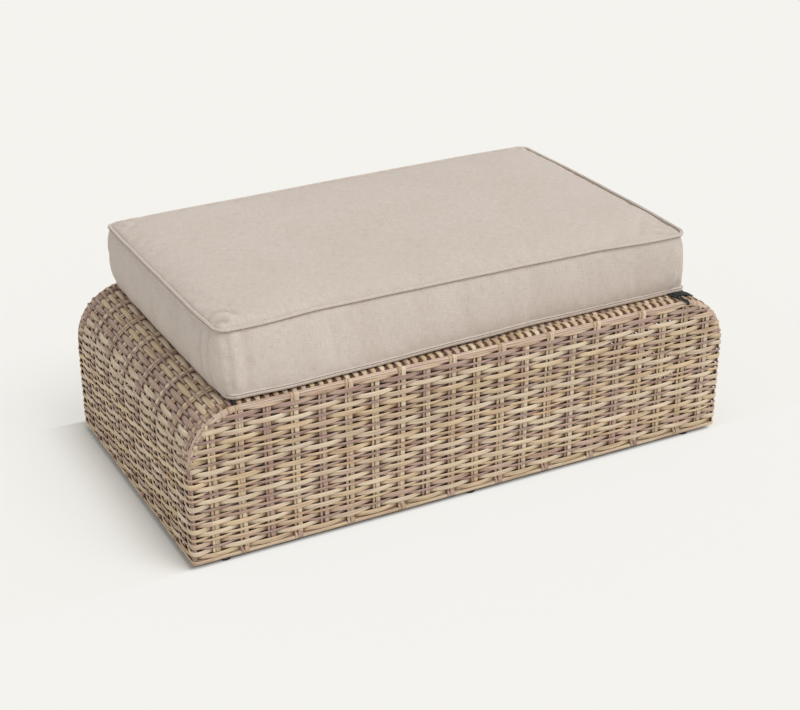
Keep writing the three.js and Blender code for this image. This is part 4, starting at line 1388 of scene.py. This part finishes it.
class Cushion:
    """The box cushion: three panels that meet in two piped seams."""

    def __init__(self, centre_y, fabric, thread, webbing, zip_paint):
        self.fabric = fabric
        self.thread = thread
        self.webbing = webbing
        self.zip_paint = zip_paint
        self.place = np.array([CUSHION_SHIFT_X, centre_y, 0])

    def set_seams(self, start, end):
        """Where the two pipings run: on the seams, tucked in at the lower left and sunk at the upper back."""
        out = loop_normals(start)
        tuck = LEFT_TUCK * facing(out, 0, -1)
        self.low_loop = start - out * tuck[:, None] + np.array([0, 0, LOW_PIPING_LIFT])
        self.high_loop = end + np.array([0, 0, SEAM_TUCK])
        self.high_loop[:, 2] -= BACK_SINK * facing(loop_normals(end), 1, 1)

    def panels(self):
        """Points, faces, cloth coordinates, panel numbers, seam marks and directions out of the cover."""
        grid = panel_grid(CUSHION_X, CUSHION_Y, SEWN_CORNER, CLOTH_STEP)
        columns, rows = grid.shape[:2]
        border = grid_border(columns, rows)
        flat = grid.reshape(-1, 2)
        count = len(flat)
        inward = np.minimum(CUSHION_X - np.abs(flat[:, 0]), CUSHION_Y - np.abs(flat[:, 1]))
        top = np.column_stack([top_outline(flat), HIGH_SEAM + crown(flat, inward)])
        under_heights = np.maximum(LOW_SEAM - inward / UNDERSIDE_RUN, CUSHION_BOTTOM)
        under = np.column_stack([low_outline(flat), under_heights])
        under[:, 2] -= droop(under[:, 0])
        low, high = seam_heights(top[border], under[border])
        top[border, 2] = high - SEAM_TUCK
        under[border, 2] = low
        self.set_seams(under[border], top[border])
        wall, wall_cloth, wall_out = boxing(under[border], top[border], high)
        face = grid_faces(columns, rows)
        wall_face = grid_faces(len(border), wall.shape[1], closed=True)
        points = np.concatenate([top, under, wall.reshape(-1, 3)])
        faces = np.concatenate([face, face[:, ::-1] + count, wall_face + 2 * count])
        flat_cloth = np.column_stack([flat, inward])
        cloth = np.concatenate([flat_cloth, flat_cloth, wall_cloth.reshape(-1, 3)])
        panel = np.repeat([TOP, UNDERSIDE, BOXING], [count, count, len(wall_out)])
        pinned = np.zeros(len(points), bool)
        pinned[border] = pinned[border + count] = True
        pinned[2 * count:].reshape(wall.shape[:2])[:, [0, -1]] = True
        out = np.zeros((len(points), 3))
        out[panel == BOXING] = wall_out
        return points, faces, cloth, panel, pinned, out

    def build(self):
        self.add_cover()
        self.add_piping("top", self.high_loop, TOP_PIPING)
        self.add_piping("bottom", self.low_loop, LOW_PIPING)
        self.add_zip()
        self.add_ties()

    def add_cover(self):
        points, faces, cloth, panel, pinned, out = self.panels()
        piece = mesh_object("cushion", points, faces)
        points = held(points, swell(piece, pinned), panel)
        move_points(piece, points)
        for name, values in (("cloth", cloth), ("panel", np.repeat(panel, 3)), ("out", out)):
            set_vectors(piece.data, name, values)
        refined(piece)
        cloth, panel, out = (vectors(piece.data, name) for name in ("cloth", "panel", "out"))
        panel = np.rint(panel[:, 0]).astype(int)
        points, rise = folded(vectors(piece.data), cloth, panel, out)
        # The fold attribute carries the fabric's painted shade in valleys and painted highlight on ridges
        set_vectors(piece.data, "fold", np.repeat(np.clip(rise / FOLD_SHADE_DEPTH, -1, 1), 3))
        move_points(piece, placket(points, panel))
        piece.data.update()
        piece.data.materials.append(self.fabric)
        piece.location = self.place
        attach(piece, "cushion")
        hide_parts("foam_core", "cover_top", "cover_bottom", "cover_boxing")

    def add_piping(self, side, loop, width):
        """The covered cord on a seam, with a brown thread along it as painted seam shade."""
        loop = loop + self.place
        cord = Strands(f"piping_{side}_cord", sides=12, seed=50)
        cord.add(loop, UP, width, width, WHITE, closed=True)
        cord.piece(self.fabric, "cushion", "fabric", f"piping_{side}", grain="cloth")
        thread = Strands(f"piping_{side}_thread", sides=6, seed=51)
        for offset in seam_shade_line_offsets(side, loop_normals(loop), width / 2):
            thread.add(loop + offset, UP, THREAD_WIDTH, THREAD_WIDTH, STITCH_AND_SEAM_SHADE_BROWN, closed=True)
        thread.piece(self.thread, "cushion", "fabric")

    def add_zip(self):
        """Two coils that mesh on a stitched tape."""
        middle = self.place + np.array([-CUSHION_SHIFT_X, CUSHION_Y + ZIP_FACE, ZIP_HEIGHT])
        outward = (0, 1, 0)
        x = np.linspace(-ZIP_LENGTH / 2, ZIP_LENGTH / 2, ZIP_POINTS)
        line = middle + np.stack(np.broadcast_arrays(x, 0, 0), -1)
        tape = Strands("zip_tape", seed=60)
        tape.add(line, outward, ZIP_TAPE, TAPE_THICKNESS, WHITE)
        tape.piece(self.fabric, "cushion", "fabric", grain="cloth")
        stitches = Strands("zip_stitches", sides=6, seed=61)
        coils = Strands("zip_coils", sides=5, seed=62)
        turns = round(ZIP_LENGTH / COIL_PITCH)
        angle = np.linspace(0, 2 * math.pi * turns, COIL_TURN_POINTS * turns + 1)
        for side in (-1, 1):
            seam = line + np.array([0, TAPE_STITCH_OUT, side * TAPE_STITCH_SHARE * ZIP_TAPE])
            stitches.add(seam, outward, THREAD_WIDTH, THREAD_WIDTH, STITCH_AND_SEAM_SHADE_BROWN)
            along = np.linspace(-ZIP_LENGTH / 2, ZIP_LENGTH / 2, len(angle)) + side * COIL_PITCH / 4
            across = side * COIL_SPREAD_SHARE * COIL_RADIUS + COIL_RADIUS * np.cos(angle)
            deep = COIL_DEPTH_SHARE * COIL_RADIUS * np.sin(angle)
            coils.add(middle + np.stack([along, deep, across], -1), outward, COIL_WIRE, COIL_WIRE, WHITE)
        stitches.piece(self.thread, "cushion", "fabric")
        coils.piece(self.zip_paint, "cushion", "zip", "zip_chain")

    def add_ties(self):
        """The flat straps that are sewn into the lower seam at the corners."""
        x, y = (np.linspace(*ends, BAND_POINTS) * MM for ends in (BAND_X, BAND_Y))
        place, normal = profile(PROFILE_LENGTH / 2 + over_shoulder(x), -TIE_THICKNESS / 2 - TIE_LIFT)
        self.add_tie("front_right", 70, upright(place, y), upright(normal), TIE_WIDTH)
        outward = unit(np.array(TAIL_OUTWARD))
        self.add_tie("tail_front_right", 71, np.array(TAIL_ROUTE) * MM, outward, TIE_TAIL_WIDTH)
        self.add_tie("front_left", 72, np.array(STUB_ROUTE) * MM, UP, TIE_TAIL_WIDTH)
        outward = unit(np.array(BACK_TIE_OUTWARD))
        for side, label, seed in ((-1, "left", 72), (1, "right", 74)):
            points = np.array(BACK_TIE_ROUTE) * MM * (side, 1, 1)
            self.add_tie(f"back_{label}", seed, points, outward, TIE_WIDTH)

    def add_tie(self, name, seed, points, outward, width):
        strap = Strands(f"strap_{name}", seed=seed)
        strap.add(points, outward, width, TIE_THICKNESS, WEBBING_BLACK)
        strap.piece(self.webbing, "cushion", "webbing", f"tie_{name}")


# Stage

def add_floor():
    """A floor in the backdrop's colour, lit by itself where only the camera sees it."""
    far = FLOOR_REACH
    floor = mesh_object("floor", [(-far, -far, 0), (far, -far, 0), (far, far, 0), (-far, far, 0)],
                        [(0, 1, 2, 3)], smooth=False)
    nodes = Nodes("floor_paint", colour=FLOOR_COLOUR, roughness=1.0, specular=0)
    axes = nodes.axes(nodes.place())
    beside = nodes.maths("SUBTRACT", nodes.maths("ABSOLUTE", axes["X"]), HALF_LENGTH)
    before = nodes.maths("SUBTRACT", nodes.maths("ABSOLUTE", axes["Y"]), HALF_DEPTH)
    away = nodes.maths("MAXIMUM", beside, nodes.maths("MULTIPLY", before, FRONT_GAIN))
    share = nodes.spread(nodes.maths("DIVIDE", away, BACKDROP_REACH), BACKDROP_NEAR, BACKDROP_SHARE)
    ahead = nodes.maths("SUBTRACT", nodes.maths("MULTIPLY", axes["Y"], -1.0), HALF_DEPTH)
    ahead = nodes.maths("MULTIPLY", ahead, FRONT_GAIN / BACKDROP_REACH)
    share = nodes.maths("MAXIMUM", share, nodes.spread(ahead, 0.0, FRONT_SHARE))
    outside = nodes.maths("GREATER_THAN", away, 0.0)
    direct = nodes.maths("MULTIPLY", nodes.add("LightPath").outputs["Is Camera Ray"], outside)
    backdrop = nodes.add("Emission", {"Color": (*FLOOR_COLOUR, 1)})
    nodes.surface(nodes.maths("MULTIPLY", direct, share), nodes.shader, backdrop)
    floor.data.materials.append(nodes.material)


def add_world():
    """Even soft light from all around. The camera and reflections see the pale backdrop."""
    world = bpy.data.worlds.new("studio")
    bpy.context.scene.world = world
    world.use_nodes = True
    nodes = Tree(world.node_tree)
    light = nodes.tree.nodes["Background"]
    nodes.feed(light.inputs["Color"], (*FILL_COLOUR, 1))
    nodes.feed(light.inputs["Strength"], WORLD_LIGHT)
    seen = nodes.add("Background", {"Color": (*FLOOR_COLOUR, 1)})
    path = nodes.add("LightPath").outputs
    direct = nodes.maths("MAXIMUM", path["Is Camera Ray"], path["Is Glossy Ray"])
    nodes.surface(nodes.maths("MAXIMUM", direct, path["Is Transmission Ray"]), light, seen)


def add_sun():
    light = bpy.data.lights.new("soft_key", "SUN")
    light.energy = SUN_STRENGTH
    light.angle = SUN_ANGLE
    lamp = bpy.data.objects.new("soft_key", light)
    x, y, z = SUN_TOWARDS
    lamp.rotation_euler = (math.atan2(math.hypot(x, y), z), 0, math.atan2(x, -y))
    bpy.context.scene.collection.objects.link(lamp)


def add_camera():
    data = bpy.data.cameras.new("photo_view")
    data.lens = CAMERA_LENS
    camera = bpy.data.objects.new("photo_view", data)
    camera.location = CAMERA_PLACE
    camera.rotation_euler = (math.pi / 2 - CAMERA_PITCH, 0, -CAMERA_YAW)
    bpy.context.scene.collection.objects.link(camera)
    bpy.context.scene.camera = camera


def middle_y(first, last):
    """The middle, from front to back, between the front of one node and the back of another."""
    low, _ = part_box(first)
    _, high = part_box(last)
    return (low.y + high.y) / 2


def paint_nodes(frame, paints):
    """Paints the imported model's own nodes that still show."""
    for row in frame["record"]["subparts"]:
        node = frame["nodes"][row["node"]]
        paint = paints.get(row["material_slot"])
        if paint and not node.hide_render:
            node.data.materials.clear()
            node.data.materials.append(paint)


def main():
    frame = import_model()
    bpy.context.scene.view_settings.view_transform = "Standard"
    add_camera()
    add_world()
    add_sun()
    add_floor()
    zip_paint = zip_material()
    cushion_y = middle_y("cover_boxing", "cover_boxing")
    Cushion(cushion_y, fabric_material(), thread_and_seam_shade_material(), webbing_material(), zip_paint).build()
    Base(middle_y("front_weave", "back_weave"), wicker_material()).build()
    paint_nodes(frame, {"frame": frame_material(), "glide": glide_material(), "zip": zip_paint})


main()
